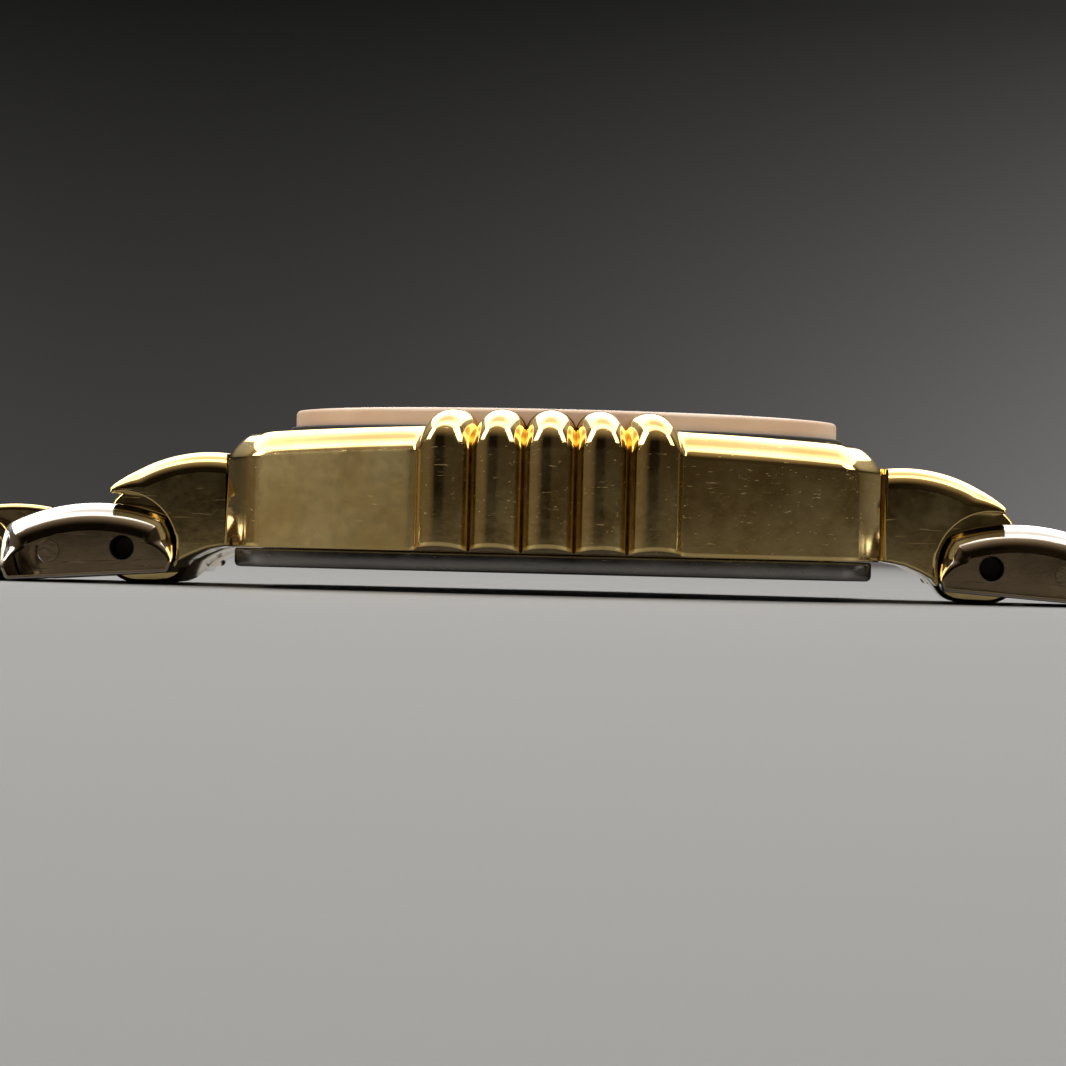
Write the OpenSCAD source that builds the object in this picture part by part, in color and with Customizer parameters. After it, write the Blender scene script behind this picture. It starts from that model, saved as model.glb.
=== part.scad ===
// Bracelet watch with a cushion case, a two-colour link bracelet and a fold-over catch.
// Millimetres. The origin is the centre of the case back's outer face.
// +X points to 6 o'clock, +Y to 3 o'clock and the crown, +Z out of the dial.
// The bracelet is open and lies flat: one strand runs to -X, the other to +X.

/* [Case] */
// Length of the case from 12 to 6
case_len = 25.2; // [24.8:0.1:25.8]
// Width of the case across its middle, without the flutes
case_width = 23.8; // [23.6:0.1:24.2]
// Plan radius of the two bowed long sides
side_radius = 44.6; // [42:0.2:52]
// Radius of the circle that takes the four corners off in plan
corner_radius = 15.5; // [15.35:0.05:15.7]
// Height of the rim above the outer face of the case back
rim_height = 5.6; // [5.5:0.05:5.65]
// Radius of the slow curve along the top, from 12 to 6
top_radius = 160; // [140:5:220]
// Rounding of the long top edges
rim_round = 0.8; // [0.5:0.05:0.85]

/* [Flutes] */
// Distance from one flute to the next
flute_pitch = 2; // [1.96:0.01:2.02]
// Radius of the half-round section of a flute
flute_radius = 1.12; // [1.11:0.01:1.15]
// How far the middle flutes stand out of the wall
flute_stand = 0.65; // [0.62:0.01:0.7]
// Outer radius of the bend over the top edge
flute_bend = 1.4; // [1.3:0.05:1.5]

/* [Case back] */
// Thickness of the case back
back_thick = 0.72; // [0.65:0.01:0.74]
// How far the case back stays inside the outline of the case
back_inset = 0.3; // [0.2:0.05:0.4]

/* [Crystal] */
// How much smaller the crystal's radius is than the mean half size of the case
crystal_margin = 1.3; // [1.28:0.01:1.36]
// Thickness of the crystal
crystal_thick = 0.9; // [0.85:0.01:1]
// Height of the crystal's top above the outer face of the case back
crystal_top = 6.3; // [6.28:0.01:6.36]

/* [Dial and hands] */
// Thickness of the dial
dial_thick = 0.35; // [0.3:0.01:0.36]
// Length of the minute hand from the centre
minute_len = 7.6; // [7:0.1:8.4]
// Length of the hour hand from the centre
hour_len = 5.2; // [4.6:0.1:5.8]
// Minutes past the hour that the hands show at rest
rest_minute = 10; // [0:1:59]
// Hour that the hands show at rest
rest_hour = 10; // [0:1:11]

/* [Movement] */
// Radius of the main plate
plate_radius = 8.3; // [8.2:0.05:8.4]
// Distance from the centre to the minute wheel
wheel_distance = 2.4; // [2.4:0.01:2.44]
// Teeth on the cannon pinion
cannon_teeth = 12; // [12:1:12]
// Teeth on the minute wheel
minute_wheel_teeth = 36; // [36:1:36]
// Teeth on the pinion of the minute wheel
minute_pinion_teeth = 10; // [10:1:10]
// Teeth on the hour wheel
hour_wheel_teeth = 40; // [40:1:40]

/* [Crown] */
// Radius of the crown
crown_radius = 1.8; // [1.7:0.05:1.85]
// Length of the crown along its axis
crown_len = 1.9; // [1.7:0.05:2.2]
// Ridges around the crown
crown_ridges = 24; // [18:2:26]

/* [End pieces] */
// Distance from the centre of the case to the first bracelet pin
first_pin_x = 17; // [16.9:0.05:17.2]
// Height of the first bracelet pin above the outer face of the case back
first_pin_z = 0.6; // [0.55:0.01:0.65]
// Radius of the gold pieces around a pin
nose_radius = 1.4; // [1.36:0.01:1.41]

/* [Bracelet] */
// Width of the bracelet
band_width = 14; // [13.6:0.1:14.4]
// Width of the gold centre row
centre_width = 6; // [5.6:0.1:6.2]
// Pin to pin in a steel side link
side_pitch = 2.9; // [2.88:0.01:2.94]
// Pin to pin in a gold centre link
centre_pitch = 4.25; // [4.24:0.01:4.32]
// Radius of a steel side link's round ends about its pins
side_end_radius = 2.05; // [2:0.01:2.06]
// Height of a link's crown above its pins
link_crown = 1.85; // [1.8:0.01:1.92]
// Depth of a steel side link below its pins
side_under = 1.06; // [1.02:0.01:1.1]
// Radius of the curved top of a link
link_top_radius = 7.6; // [7.2:0.1:8.6]
// Radius of the bracelet pins
pin_radius = 0.42; // [0.38:0.01:0.45]

/* [Catch] */
// Pin of the last link to the hinge of the cover
catch_len = 26; // [25:0.5:28]
// Thickness of the catch's plates
catch_sheet = 0.7; // [0.6:0.05:0.8]

/* [Hidden] */

gold = [0.85, 0.68, 0.33];
steel = [0.78, 0.78, 0.8];
dark = [0.18, 0.18, 0.2];

// Clearances: press is for parts that are pushed together, run for shafts that turn, slip for parts dropped in.
press = 0.01;
run = 0.04;
slip = 0.03;
// Extra length that carries a cut past a face, and a length that reaches past any one piece.
past = 0.5;
far = 8;

// Case heights, from the back up.
case_bottom = 0.75;
half_len = case_len/2;
half_width = case_width/2;
// The turned sides stand a little proud of the curved top, so that the top always cuts them at an angle.
crest = 0.05;
end_rim_height = rim_height - half_len*half_len/(2*top_radius) + 0.09;
// The opening over the dial, the bore and the gasket of the back follow from the crystal.
crystal_radius = (half_len + half_width)/2 - crystal_margin;
flange_radius = crystal_radius - 1;
bore_radius = flange_radius + 0.45;
spigot_thick = 0.7;
spigot_top = 1.2;
gasket_inner = bore_radius + 0.15;
gasket_outer = gasket_inner + 0.4;
gasket_depth = 0.4;
back_edge = 0.25;
dial_top = 4.5;
seat_z = crystal_top - crystal_thick;
crystal_bevel = 0.2;
seal_thick = 0.2;
seal_height = 0.12;
seat_radius = crystal_radius + seal_thick + slip;
// The sloped collar that holds the seat up at 12 and 6, where the top of the case curves down.
collar_rise = 0.07;
collar_edge = 0.1;
collar_wide = 1;
collar_low = seat_z - 0.5;
collar_half = 8;

// Screws of the case back: one near each corner.
screw_in_x = 2.4;
screw_in_y = 3.4;
screw_x = half_len - screw_in_x;
screw_y = half_width - screw_in_y;
screw_radius = 0.35;
screw_head_radius = 0.72;
screw_head_thick = 0.35;
screw_sink = 0.06;
screw_len = 2.2;
screw_slot = 0.22;
screw_slot_depth = 0.16;

// Flutes. Each is cut out of a block that is a little wider than the flute.
flutes = [-2:2];
flute_block = 1.5*flute_radius;
flute_axis_in = flute_radius - flute_stand;
flute_top = crystal_top - 0.05;
flute_axis_z = flute_top - flute_radius;

// Crown and stem. The stem runs along +Y.
stem_z = 2.8;
stem_radius = 0.35;
stem_inner_end = 3.6;
tube_radius = 0.8;
tube_bore = 0.45;
pocket_radius = crown_radius + 0.3;
pocket_floor = half_width - 0.05;
crown_inner_face = pocket_floor + 0.2;
tube_inner_end = bore_radius + 0.05;
tube_outer_end = crown_inner_face + 0.75;
crown_outer_face = crown_inner_face + crown_len;
crown_hollow_end = tube_outer_end + 0.3;
ring_inner = tube_radius + run;
ring_outer = 1.15;
ring_len = 0.5;
ring_start = crown_inner_face + 0.2;
ridge_root = 0.15;
ridge_depth = 0.3;
ridge_half = 0.09;
ridge_margin = 0.15;
crown_cap = 0.4;

// Movement, from the back up.
battery_radius = 3.4;
battery_x = -3.95;
battery_y = -0.5;
battery_bottom = 0.92;
battery_top = 2.55;
battery_cap = 0.25;
battery_step = 0.5;
board_bottom = 1.9;
plate_bottom = 2.2;
plate_top = 3.4;
board_radius = plate_radius - 0.3;
coil_x = 5;
coil_radius = 0.45;
coil_len = 7;
post_radius = 0.2;
wheel_bottom = 3.46;
wheel_thick = 0.28;
second_bottom = 3.76;
second_thick = 0.26;
cannon_radius = 0.42;
cannon_top = 5.26;
hour_tube_radius = 0.72;
hour_tube_top = 5;
hour_hand_z = 4.84;
minute_hand_z = 5.1;
hand_thick = 0.12;
hand_tail = 1.6;
hand_tip = 0.5;
marker_outer = flange_radius - 0.6;
marker_long = 1.9;
marker_short = 1.6;
marker_wide = 0.52;
marker_narrow = 0.3;
marker_thick = 0.16;
module_1 = 2*wheel_distance/(cannon_teeth + minute_wheel_teeth);
module_2 = 2*wheel_distance/(minute_pinion_teeth + hour_wheel_teeth);
minute_angle = 6*rest_minute;
hour_angle = 30*rest_hour + rest_minute/2;

// Bracelet.
side_gap = 0.1;
side_inner = centre_width/2 + side_gap;
side_outer = band_width/2;
block_clear = 0.15;
block_reach = 0.5;
pin_recess = 1.2;
gold_over = 0.08;
centre_under = side_under - 0.06;
step = 0.05;
lean = 0.12;
edge_round = 0.4;
floor_z = first_pin_z - nose_radius;
flat_z = floor_z + side_under;
// Side link 1 slopes until the far end of its underside is just above the floor.
heel = sqrt(side_end_radius*side_end_radius - side_under*side_under);
drop_reach = side_pitch + heel;
heel_clear = 0.02;
drop_1 = asin((nose_radius - heel_clear)/sqrt(drop_reach*drop_reach + side_under*side_under))
  - atan2(side_under, drop_reach);
drop_2 = asin((first_pin_z - side_pitch*sin(drop_1) - flat_z)/centre_pitch);
pin_2_x = first_pin_x + side_pitch*cos(drop_1);
pin_3_x = pin_2_x + centre_pitch*cos(drop_2);
repeat = side_pitch + centre_pitch;
links_12 = 6;
links_6 = 5;

// End pieces: the block that butts against the case, its tongue into the case, and its two screws.
end_top_radius = 6;
end_top_x = 3.45;
end_top_z = -2.15;
// Height above the pin of the underside where the end piece meets the case.
end_under = 0.2;
end_half_width = 7.2;
tongue_half = 4;
tongue_in = 1.5;
tongue_low = 2;
tongue_high = 3.2;
end_screw_x = half_len - 0.8;
end_screw_y = 3.2;
end_screw_radius = 0.28;
end_screw_len = 2.1;
end_head_radius = 0.5;
end_head_thick = 0.35;

// Catch.
base_top = catch_sheet - side_under;
base_half = side_outer - catch_sheet - 0.05;
base_start = 3;
neck_end = 3.4;
hinge_radius = 0.95;
hinge_pin_radius = 0.4;
hinge_half = 3;
cover_start = 3.3;
cover_top = 1.7;
cover_low = -0.95;
cover_round = 0.6;
hollow_top = hinge_radius + 0.05;
hook_x = 9;
hook_height = 1.85;
hook_radius = 0.8;
hook_head_radius = 1.15;
hook_head_thick = 0.35;
loop_len = 8.6;
loop_neck = 2.6;
loop_neck_end = 2.9;
loop_bar = 1.1;
loop_window = 3.6;
loop_round = 0.6;

// Where bracelet pin n of a strand is, counted from the case.
function pin_x(n) = n == 1 ? first_pin_x : n == 2 ? pin_2_x
  : pin_3_x + repeat*floor((n - 3)/2) + side_pitch*((n - 3)%2);
function pin_z(n) = n == 1 ? first_pin_z : n == 2 ? first_pin_z - side_pitch*sin(drop_1) : flat_z;
// How far the wall of the case is from the centre line at a distance x along it.
function wall_y(x) = half_width - side_radius + sqrt(side_radius*side_radius - x*x);

// Shared shapes.

// Moves a flat drawing in X and Z into place and gives it width along Y.
module sideways(y_from, y_to) {
  translate([0, y_to, 0])
    rotate([90, 0, 0])
      linear_extrude(y_to - y_from)
        children();
}

// A cylinder along Y.
module rod_y(r, y_from, y_to) {
  translate([0, y_from, 0])
    rotate([-90, 0, 0])
      cylinder(h = y_to - y_from, r = r);
}

// A flat ring.
module ring(r_in, r_out, z_from, z_to) {
  translate([0, 0, z_from])
    linear_extrude(z_to - z_from)
      difference() {
        circle(r_out);
        circle(r_in);
      }
}

// A rectangle with rounded corners, drawn from its limits.
module soft_rectangle(x_from, x_to, z_from, z_to, r) {
  translate([x_from + r, z_from])
    square([x_to - x_from - 2*r, z_to - z_from]);
  translate([x_from, z_from + r])
    square([x_to - x_from, z_to - z_from - 2*r]);
  for (x = [x_from + r, x_to - r])
    for (z = [z_from + r, z_to - r])
      translate([x, z])
        circle(r);
}

// The plan of the case, drawn smaller by inset.
module case_plan(inset) {
  intersection() {
    for (s = [-1, 1])
      translate([0, s*(side_radius - half_width)])
        circle(side_radius - inset);
    translate([inset - half_len, -half_width])
      square([case_len - 2*inset, case_width]);
  }
}

// A plain spur gear about Z.
module gear(teeth, m, z_from, thick, turn) {
  tip = m*teeth/2 + 0.75*m;
  root = m*teeth/2 - 0.95*m;
  translate([0, 0, z_from])
    linear_extrude(thick)
      rotate(turn) {
        circle(root, $fn = 48);
        for (i = [0:teeth - 1])
          rotate(i*360/teeth)
            polygon([[root - 0.1*m, -0.8*m], [m*teeth/2, -0.68*m], [tip, -0.38*m],
              [tip, 0.38*m], [m*teeth/2, 0.68*m], [root - 0.1*m, 0.8*m]]);
      }
}

// Case.

// One long side of the case as a turned disc: its rounded top edge follows the bow of the wall.
module turned_side() {
  rotate_extrude($fn = 200)
    difference() {
      square([side_radius, rim_height + crest]);
      translate([side_radius - rim_round, rim_height + crest - rim_round])
        difference() {
          square(rim_round + past);
          circle(rim_round, $fn = 32);
        }
    }
}

module case_blank() {
  intersection() {
    for (s = [-1, 1])
      translate([0, s*(side_radius - half_width), 0])
        turned_side();
    sideways(-half_width, half_width)
      intersection() {
        translate([0, rim_height - top_radius])
          circle(top_radius, $fn = 600);
        soft_rectangle(-half_len, half_len, -past, end_rim_height, rim_round);
      }
    translate([0, 0, case_bottom])
      cylinder(h = rim_height, r = corner_radius, $fn = 96);
  }
}

// One half-round flute on the +Y side: up the wall, over the edge and in to the crystal.
// Two rods meet in a mitre and a round cutter takes off its corner.
module flute(x) {
  axis_y = wall_y(x) - flute_axis_in;
  difference() {
    union() {
      intersection() {
        translate([x, axis_y, case_bottom])
          cylinder(h = flute_top - case_bottom, r = flute_radius, $fn = 40);
        mitre(x, axis_y, [[-far, -far], [far, -far], [far, far]]);
      }
      intersection() {
        translate([x, 0, flute_axis_z])
          rod_y(flute_radius, flange_radius - flute_bend, axis_y + flute_radius, $fn = 40);
        mitre(x, axis_y, [[-far, -far], [far, far], [-far, far]]);
      }
    }
    translate([x - flute_block, axis_y + flute_radius + crest - flute_bend, flute_top + crest - flute_bend])
      rotate([90, 0, 90])
        linear_extrude(2*flute_block)
          difference() {
            square(flute_bend + past);
            circle(flute_bend, $fn = 48);
          }
  }
}

module crystal_collar() {
  intersection() {
    translate([0, 0, collar_low])
      cylinder(h = seat_z + collar_rise - collar_low, r1 = seat_radius + collar_wide,
        r2 = seat_radius + collar_edge, $fn = 96);
    translate([-half_len, -collar_half, 0])
      cube([case_len, 2*collar_half, crystal_top]);
  }
}

// A block in Y and Z about the point where a flute's two rods cross.
module mitre(x, axis_y, points) {
  translate([x - flute_block, axis_y, flute_axis_z])
    rotate([90, 0, 90])
      linear_extrude(2*flute_block)
        polygon(points);
}

module case_middle() color(gold) {
  difference() {
    union() {
      case_blank();
      crystal_collar();
      for (i = flutes)
        flute(i*flute_pitch);
      mirror([0, 1, 0])
        for (i = flutes)
          flute(i*flute_pitch);
    }
    // The bore for the movement, the opening over the dial and the seat of the crystal.
    translate([0, 0, case_bottom - past])
      cylinder(h = dial_top + press - case_bottom + past, r = bore_radius, $fn = 96);
    cylinder(h = crystal_top, r = flange_radius, $fn = 96);
    translate([0, 0, seat_z])
      cylinder(h = crystal_top, r = seat_radius, $fn = 96);
    // The groove of the back gasket.
    ring(gasket_inner - slip, gasket_outer + slip, case_bottom - past, case_bottom + gasket_depth, $fn = 96);
    // The pocket of the crown and the hole of its tube.
    translate([0, 0, stem_z]) {
      rod_y(pocket_radius, pocket_floor, half_width + flute_radius + past, $fn = 48);
      rod_y(tube_radius + press, bore_radius - 1, half_width + past, $fn = 48);
    }
    back_screw_places()
      cylinder(h = screw_len - case_bottom + past, r = screw_radius + press, $fn = 40);
    end_screw_places() {
      translate([0, 0, -past])
        cylinder(h = past + end_head_thick + slip, r = end_head_radius + slip, $fn = 40);
      cylinder(h = tongue_low - case_bottom + past, r = end_screw_radius + press, $fn = 40);
    }
    // The slot at each end that takes the tongue of an end piece.
    for (s = [-1, 1])
      translate([s*(half_len - tongue_in/2 - slip/2 + past/2), 0, (tongue_low + tongue_high)/2])
        cube([tongue_in + slip + past, 2*(tongue_half + slip), tongue_high - tongue_low + 2*slip], center = true);
  }
}

module back_screw_places() {
  for (x = [-screw_x, screw_x])
    for (y = [-screw_y, screw_y])
      translate([x, y, case_bottom - past])
        children();
}

module end_screw_places() {
  for (s = [-1, 1])
    one_end_screw_places(s)
      children();
}

// The two screws of the end piece on one side: s is 1 at 6 o'clock and -1 at 12 o'clock.
module one_end_screw_places(s) {
  for (y = [-end_screw_y, end_screw_y])
    translate([s*end_screw_x, y, case_bottom])
      children();
}

module case_back() color(steel) {
  difference() {
    union() {
      intersection() {
        linear_extrude(back_thick)
          case_plan(back_inset);
        union() {
          cylinder(h = back_edge, r1 = corner_radius - back_inset - back_edge,
            r2 = corner_radius - back_inset, $fn = 96);
          translate([0, 0, back_edge])
            cylinder(h = back_thick, r = corner_radius - back_inset, $fn = 96);
        }
      }
      ring(bore_radius - slip - spigot_thick, bore_radius - slip, back_thick - 0.1, spigot_top, $fn = 96);
    }
    for (x = [-screw_x, screw_x])
      for (y = [-screw_y, screw_y])
        translate([x, y, 0]) {
          translate([0, 0, -past])
            cylinder(h = back_thick + 2*past, r = screw_radius + slip, $fn = 40);
          translate([0, 0, -past])
            cylinder(h = screw_sink + screw_head_thick + past, r = screw_head_radius + slip, $fn = 40);
        }
  }
}

module case_back_screws() color(steel) {
  for (x = [-screw_x, screw_x])
    for (y = [-screw_y, screw_y])
      translate([x, y, screw_sink])
        difference() {
          union() {
            cylinder(h = screw_head_thick, r = screw_head_radius, $fn = 40);
            cylinder(h = screw_len - screw_sink - 0.1, r = screw_radius, $fn = 40);
          }
          translate([-screw_head_radius - past, -screw_slot/2, -past])
            cube([2*screw_head_radius + 2*past, screw_slot, past + screw_slot_depth]);
        }
}

module case_back_gasket() color(dark)
  ring(gasket_inner, gasket_outer, back_thick + press, case_bottom + gasket_depth - press, $fn = 96);

module crystal() color([0.9, 0.93, 0.95, 0.4]) {
  translate([0, 0, seat_z + press])
    cylinder(h = crystal_thick - crystal_bevel - press, r = crystal_radius, $fn = 96);
  translate([0, 0, crystal_top - crystal_bevel])
    cylinder(h = crystal_bevel, r1 = crystal_radius, r2 = crystal_radius - crystal_bevel, $fn = 96);
}

module crystal_gasket() color(dark)
  ring(crystal_radius + press, seat_radius - press, seat_z + press, seat_z + seal_height, $fn = 96);

// Dial and hands.

module dial() color([0.93, 0.9, 0.82])
  ring(hour_tube_radius + 0.2, bore_radius - 0.1, dial_top - dial_thick, dial_top, $fn = 96);

// Turns a shape drawn along +X to a dial angle, counted clockwise from 12.
module at_dial_angle(angle) {
  rotate([0, 0, 180 - angle])
    children();
}

module hour_markers() color(gold)
  for (i = [0:11])
    at_dial_angle(30*i)
      marker(i%3 == 0 ? marker_long : marker_short, i%3 == 0 ? marker_wide : marker_narrow);

// One marker along +X. All of them start at the same distance from the centre.
module marker(len, width) {
  translate([marker_outer - marker_long, -width/2, dial_top])
    cube([len, width, marker_thick]);
}

// A slim hand that narrows to its tip, with a round boss on its tube.
module hand(len, half, boss, hole) {
  linear_extrude(hand_thick)
    difference() {
      union() {
        polygon([[-hand_tail, -0.6*half], [0, -half], [len - hand_tip, -0.55*half], [len, 0],
          [len - hand_tip, 0.55*half], [0, half], [-hand_tail, 0.6*half]]);
        circle(boss, $fn = 40);
      }
      circle(hole, $fn = 40);
    }
}

module minute_hand() color(gold)
  translate([0, 0, minute_hand_z])
    at_dial_angle(minute_angle)
      hand(minute_len, 0.28, 0.7, cannon_radius + press);

module hour_hand() color(gold)
  translate([0, 0, hour_hand_z])
    at_dial_angle(hour_angle)
      hand(hour_len, 0.36, 1.05, hour_tube_radius + press);

module cannon_pinion() color([0.8, 0.7, 0.4])
  difference() {
    union() {
      gear(cannon_teeth, module_1, wheel_bottom, wheel_thick, 0);
      translate([0, 0, wheel_bottom])
        cylinder(h = cannon_top - wheel_bottom, r = cannon_radius, $fn = 40);
    }
    translate([0, 0, wheel_bottom - past])
      cylinder(h = cannon_top - wheel_bottom - 0.2 + past, r = post_radius + run, $fn = 40);
  }

module hour_wheel() color([0.8, 0.7, 0.4])
  difference() {
    union() {
      gear(hour_wheel_teeth, module_2, second_bottom, second_thick, 90);
      translate([0, 0, second_bottom])
        cylinder(h = hour_tube_top - second_bottom, r = hour_tube_radius, $fn = 40);
    }
    translate([0, 0, second_bottom - past])
      cylinder(h = hour_tube_top + 2*past - second_bottom, r = cannon_radius + run, $fn = 40);
  }

module minute_wheel() color([0.8, 0.7, 0.4])
  translate([0, wheel_distance, 0])
    difference() {
      union() {
        gear(minute_wheel_teeth, module_1, wheel_bottom, wheel_thick, 90 + 180/minute_wheel_teeth);
        gear(minute_pinion_teeth, module_2, wheel_bottom + wheel_thick - 0.05,
          second_bottom + second_thick - wheel_bottom - wheel_thick + 0.05, 90);
      }
      translate([0, 0, wheel_bottom - past])
        cylinder(h = far, r = post_radius + run, $fn = 40);
    }

// Movement.

module main_plate() color([0.75, 0.73, 0.66])
  difference() {
    union() {
      translate([0, 0, plate_bottom])
        cylinder(h = plate_top - plate_bottom, r = plate_radius, $fn = 96);
      translate([0, 0, plate_bottom])
        cylinder(h = cannon_top - 0.4 - plate_bottom, r = post_radius, $fn = 40);
      translate([0, wheel_distance, plate_bottom])
        cylinder(h = second_bottom + second_thick - plate_bottom, r = post_radius, $fn = 40);
    }
    translate([battery_x, battery_y, plate_bottom - past])
      cylinder(h = battery_top + press - plate_bottom + past, r = battery_radius + slip, $fn = 64);
    translate([0, 0, stem_z])
      rod_y(stem_radius + run, stem_inner_end - 0.2, plate_radius + past, $fn = 40);
  }

module circuit_board() color([0.1, 0.3, 0.2])
  translate([0, 0, board_bottom])
    linear_extrude(plate_bottom - press - board_bottom)
      difference() {
        circle(board_radius, $fn = 96);
        translate([battery_x, battery_y])
          circle(battery_radius + slip, $fn = 64);
      }

module coil() color([0.72, 0.4, 0.2])
  translate([coil_x, 0, board_bottom - press - coil_radius])
    rod_y(coil_radius, -coil_len/2, coil_len/2, $fn = 64);

module battery() color(steel)
  translate([battery_x, battery_y, battery_bottom]) {
    cylinder(h = battery_cap, r = battery_radius - battery_step, $fn = 64);
    translate([0, 0, battery_cap])
      cylinder(h = battery_top - battery_bottom - battery_cap, r = battery_radius, $fn = 64);
  }

module movement_ring() color([0.85, 0.85, 0.82])
  difference() {
    ring(plate_radius + slip, bore_radius - slip, spigot_top + press, dial_top - dial_thick - press, $fn = 96);
    translate([0, 0, stem_z])
      rod_y(stem_radius + 0.15, 0, bore_radius + past, $fn = 40);
  }

// Crown.

module crown_tube() color(steel)
  translate([0, 0, stem_z])
    difference() {
      rod_y(tube_radius, tube_inner_end, tube_outer_end, $fn = 48);
      rod_y(tube_bore, tube_inner_end - past, tube_outer_end + past, $fn = 48);
    }

module crown_gasket() color(dark)
  translate([0, 0, stem_z])
    difference() {
      rod_y(ring_outer, ring_start, ring_start + ring_len, $fn = 48);
      rod_y(ring_inner, ring_start - past, ring_start + ring_len + past, $fn = 48);
    }

module crown() color(gold)
  translate([0, 0, stem_z])
    difference() {
      union() {
        rod_y(crown_radius - ridge_root, crown_inner_face, crown_outer_face, $fn = 48);
        for (i = [1:crown_ridges])
          rotate([0, i*360/crown_ridges, 0])
            translate([0, crown_inner_face + ridge_margin, crown_radius])
              rotate([-90, 0, 0])
                linear_extrude(crown_len - 3*ridge_margin)
                  polygon([[-2*ridge_half, ridge_depth + ridge_root], [2*ridge_half, ridge_depth + ridge_root],
                    [ridge_half, 0], [-ridge_half, 0]]);
      }
      rod_y(tube_radius + 0.1, crown_inner_face - past, crown_hollow_end, $fn = 48);
      rod_y(ring_outer + run, ring_start - run, ring_start + ring_len + run, $fn = 48);
      rod_y(stem_radius + press, crown_inner_face, crown_outer_face - crown_cap, $fn = 40);
    }

module winding_stem() color(steel)
  translate([0, 0, stem_z])
    rod_y(stem_radius, stem_inner_end, crown_outer_face - crown_cap - 2*press, $fn = 40);

// End pieces, drawn on the 6 o'clock side.

// Side view about the first pin: the gold nose round the pin and the block up to the case.
module end_profile() {
  reach = half_len - first_pin_x;
  difference() {
    union() {
      circle(nose_radius, $fn = 48);
      intersection() {
        translate([-end_top_x, end_top_z])
          circle(end_top_radius, $fn = 120);
        polygon([[reach, end_under], [-2.43*nose_radius, end_under/4], [-1.64*nose_radius, -0.32*nose_radius],
          [-1.32*nose_radius, -0.71*nose_radius], [-0.93*nose_radius, -0.95*nose_radius], [0, -nose_radius],
          [0, 0], [nose_radius - step, 0], [nose_radius - lean, 1.57*nose_radius],
          [0.56*nose_radius, 1.86*nose_radius], [0, 3*nose_radius], [reach, 3*nose_radius]]);
      }
    }
    circle(pin_radius + run, $fn = 40);
  }
}

module end_piece() color(gold) {
  translate([first_pin_x, 0, first_pin_z]) {
    sideways(-centre_width/2, centre_width/2)
      end_profile();
    // The wide block beside the nose, hollowed round the ends of the steel links and reaching just past the pin.
    sideways(-end_half_width, end_half_width)
      difference() {
        intersection() {
          end_profile();
          translate([half_len - first_pin_x, -far])
            square([first_pin_x - half_len + block_reach, 2*far]);
        }
        circle(side_end_radius + block_clear, $fn = 64);
      }
  }
  difference() {
    translate([half_len - tongue_in, -tongue_half, tongue_low])
      cube([tongue_in + past, 2*tongue_half, tongue_high - tongue_low]);
    one_end_screw_places(1)
      cylinder(h = end_screw_len + slip, r = end_screw_radius + press, $fn = 40);
  }
}

// Four short screws up through the case into the tongues of the end pieces, hidden by the case back.
module end_piece_screws() color(steel)
  end_screw_places()
    difference() {
      union() {
        translate([0, 0, slip])
          cylinder(h = end_head_thick - slip, r = end_head_radius, $fn = 40);
        translate([0, 0, slip])
          cylinder(h = end_screw_len - slip, r = end_screw_radius, $fn = 40);
      }
      translate([-end_head_radius - past, -screw_slot/2, -past])
        cube([2*end_head_radius + 2*past, screw_slot, past + screw_slot_depth]);
    }

module end_piece_6()
  end_piece();

module end_piece_12()
  mirror([1, 0, 0])
    end_piece();

// Bracelet, drawn on the 6 o'clock side.

// Puts a shape drawn about a pin, with the strand along +X, on pin n of a strand.
module on_pin(n) {
  translate([pin_x(n), 0, pin_z(n)])
    rotate([0, n == 1 ? drop_1 : n == 2 ? drop_2 : 0, 0])
      children();
}

// Side view of a link about its first pin: the two ends, the curved top and the flat underside.
module link_profile(pitch, under, top) {
  intersection() {
    children();
    translate([pitch/2, top - link_top_radius])
      circle(link_top_radius, $fn = 96);
    translate([-far, -under])
      square([pitch + 2*far, far]);
  }
}

module side_link(y_from, y_to) {
  intersection() {
    sideways(y_from, y_to)
      difference() {
        link_profile(side_pitch, side_under, link_crown)
          union() {
            circle(side_end_radius, $fn = 64);
            translate([side_pitch, 0])
              circle(side_end_radius, $fn = 64);
            translate([0, -side_end_radius])
              square([side_pitch, 2*side_end_radius]);
          }
        circle(pin_radius + press, $fn = 40);
        translate([side_pitch, 0])
          circle(pin_radius + press, $fn = 40);
      }
    translate([-far, 0, 0])
      rotate([90, 0, 90])
        linear_extrude(side_pitch + 2*far)
          soft_rectangle(y_from, y_to, -side_under, link_crown, edge_round, $fn = 24);
  }
}

module side_links(k) color(steel)
  on_pin(2*k - 1) {
    side_link(side_inner, side_outer);
    side_link(-side_outer, -side_inner);
  }

// Two pins of one pair of side links: the ends of the first are sunk, those of the second are flush.
module link_pins(k) color(dark)
  on_pin(2*k - 1) {
    rod_y(pin_radius, pin_recess - side_outer, side_outer - pin_recess, $fn = 40);
    translate([side_pitch, 0, 0])
      rod_y(pin_radius, -side_outer, side_outer, $fn = 40);
  }

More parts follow.
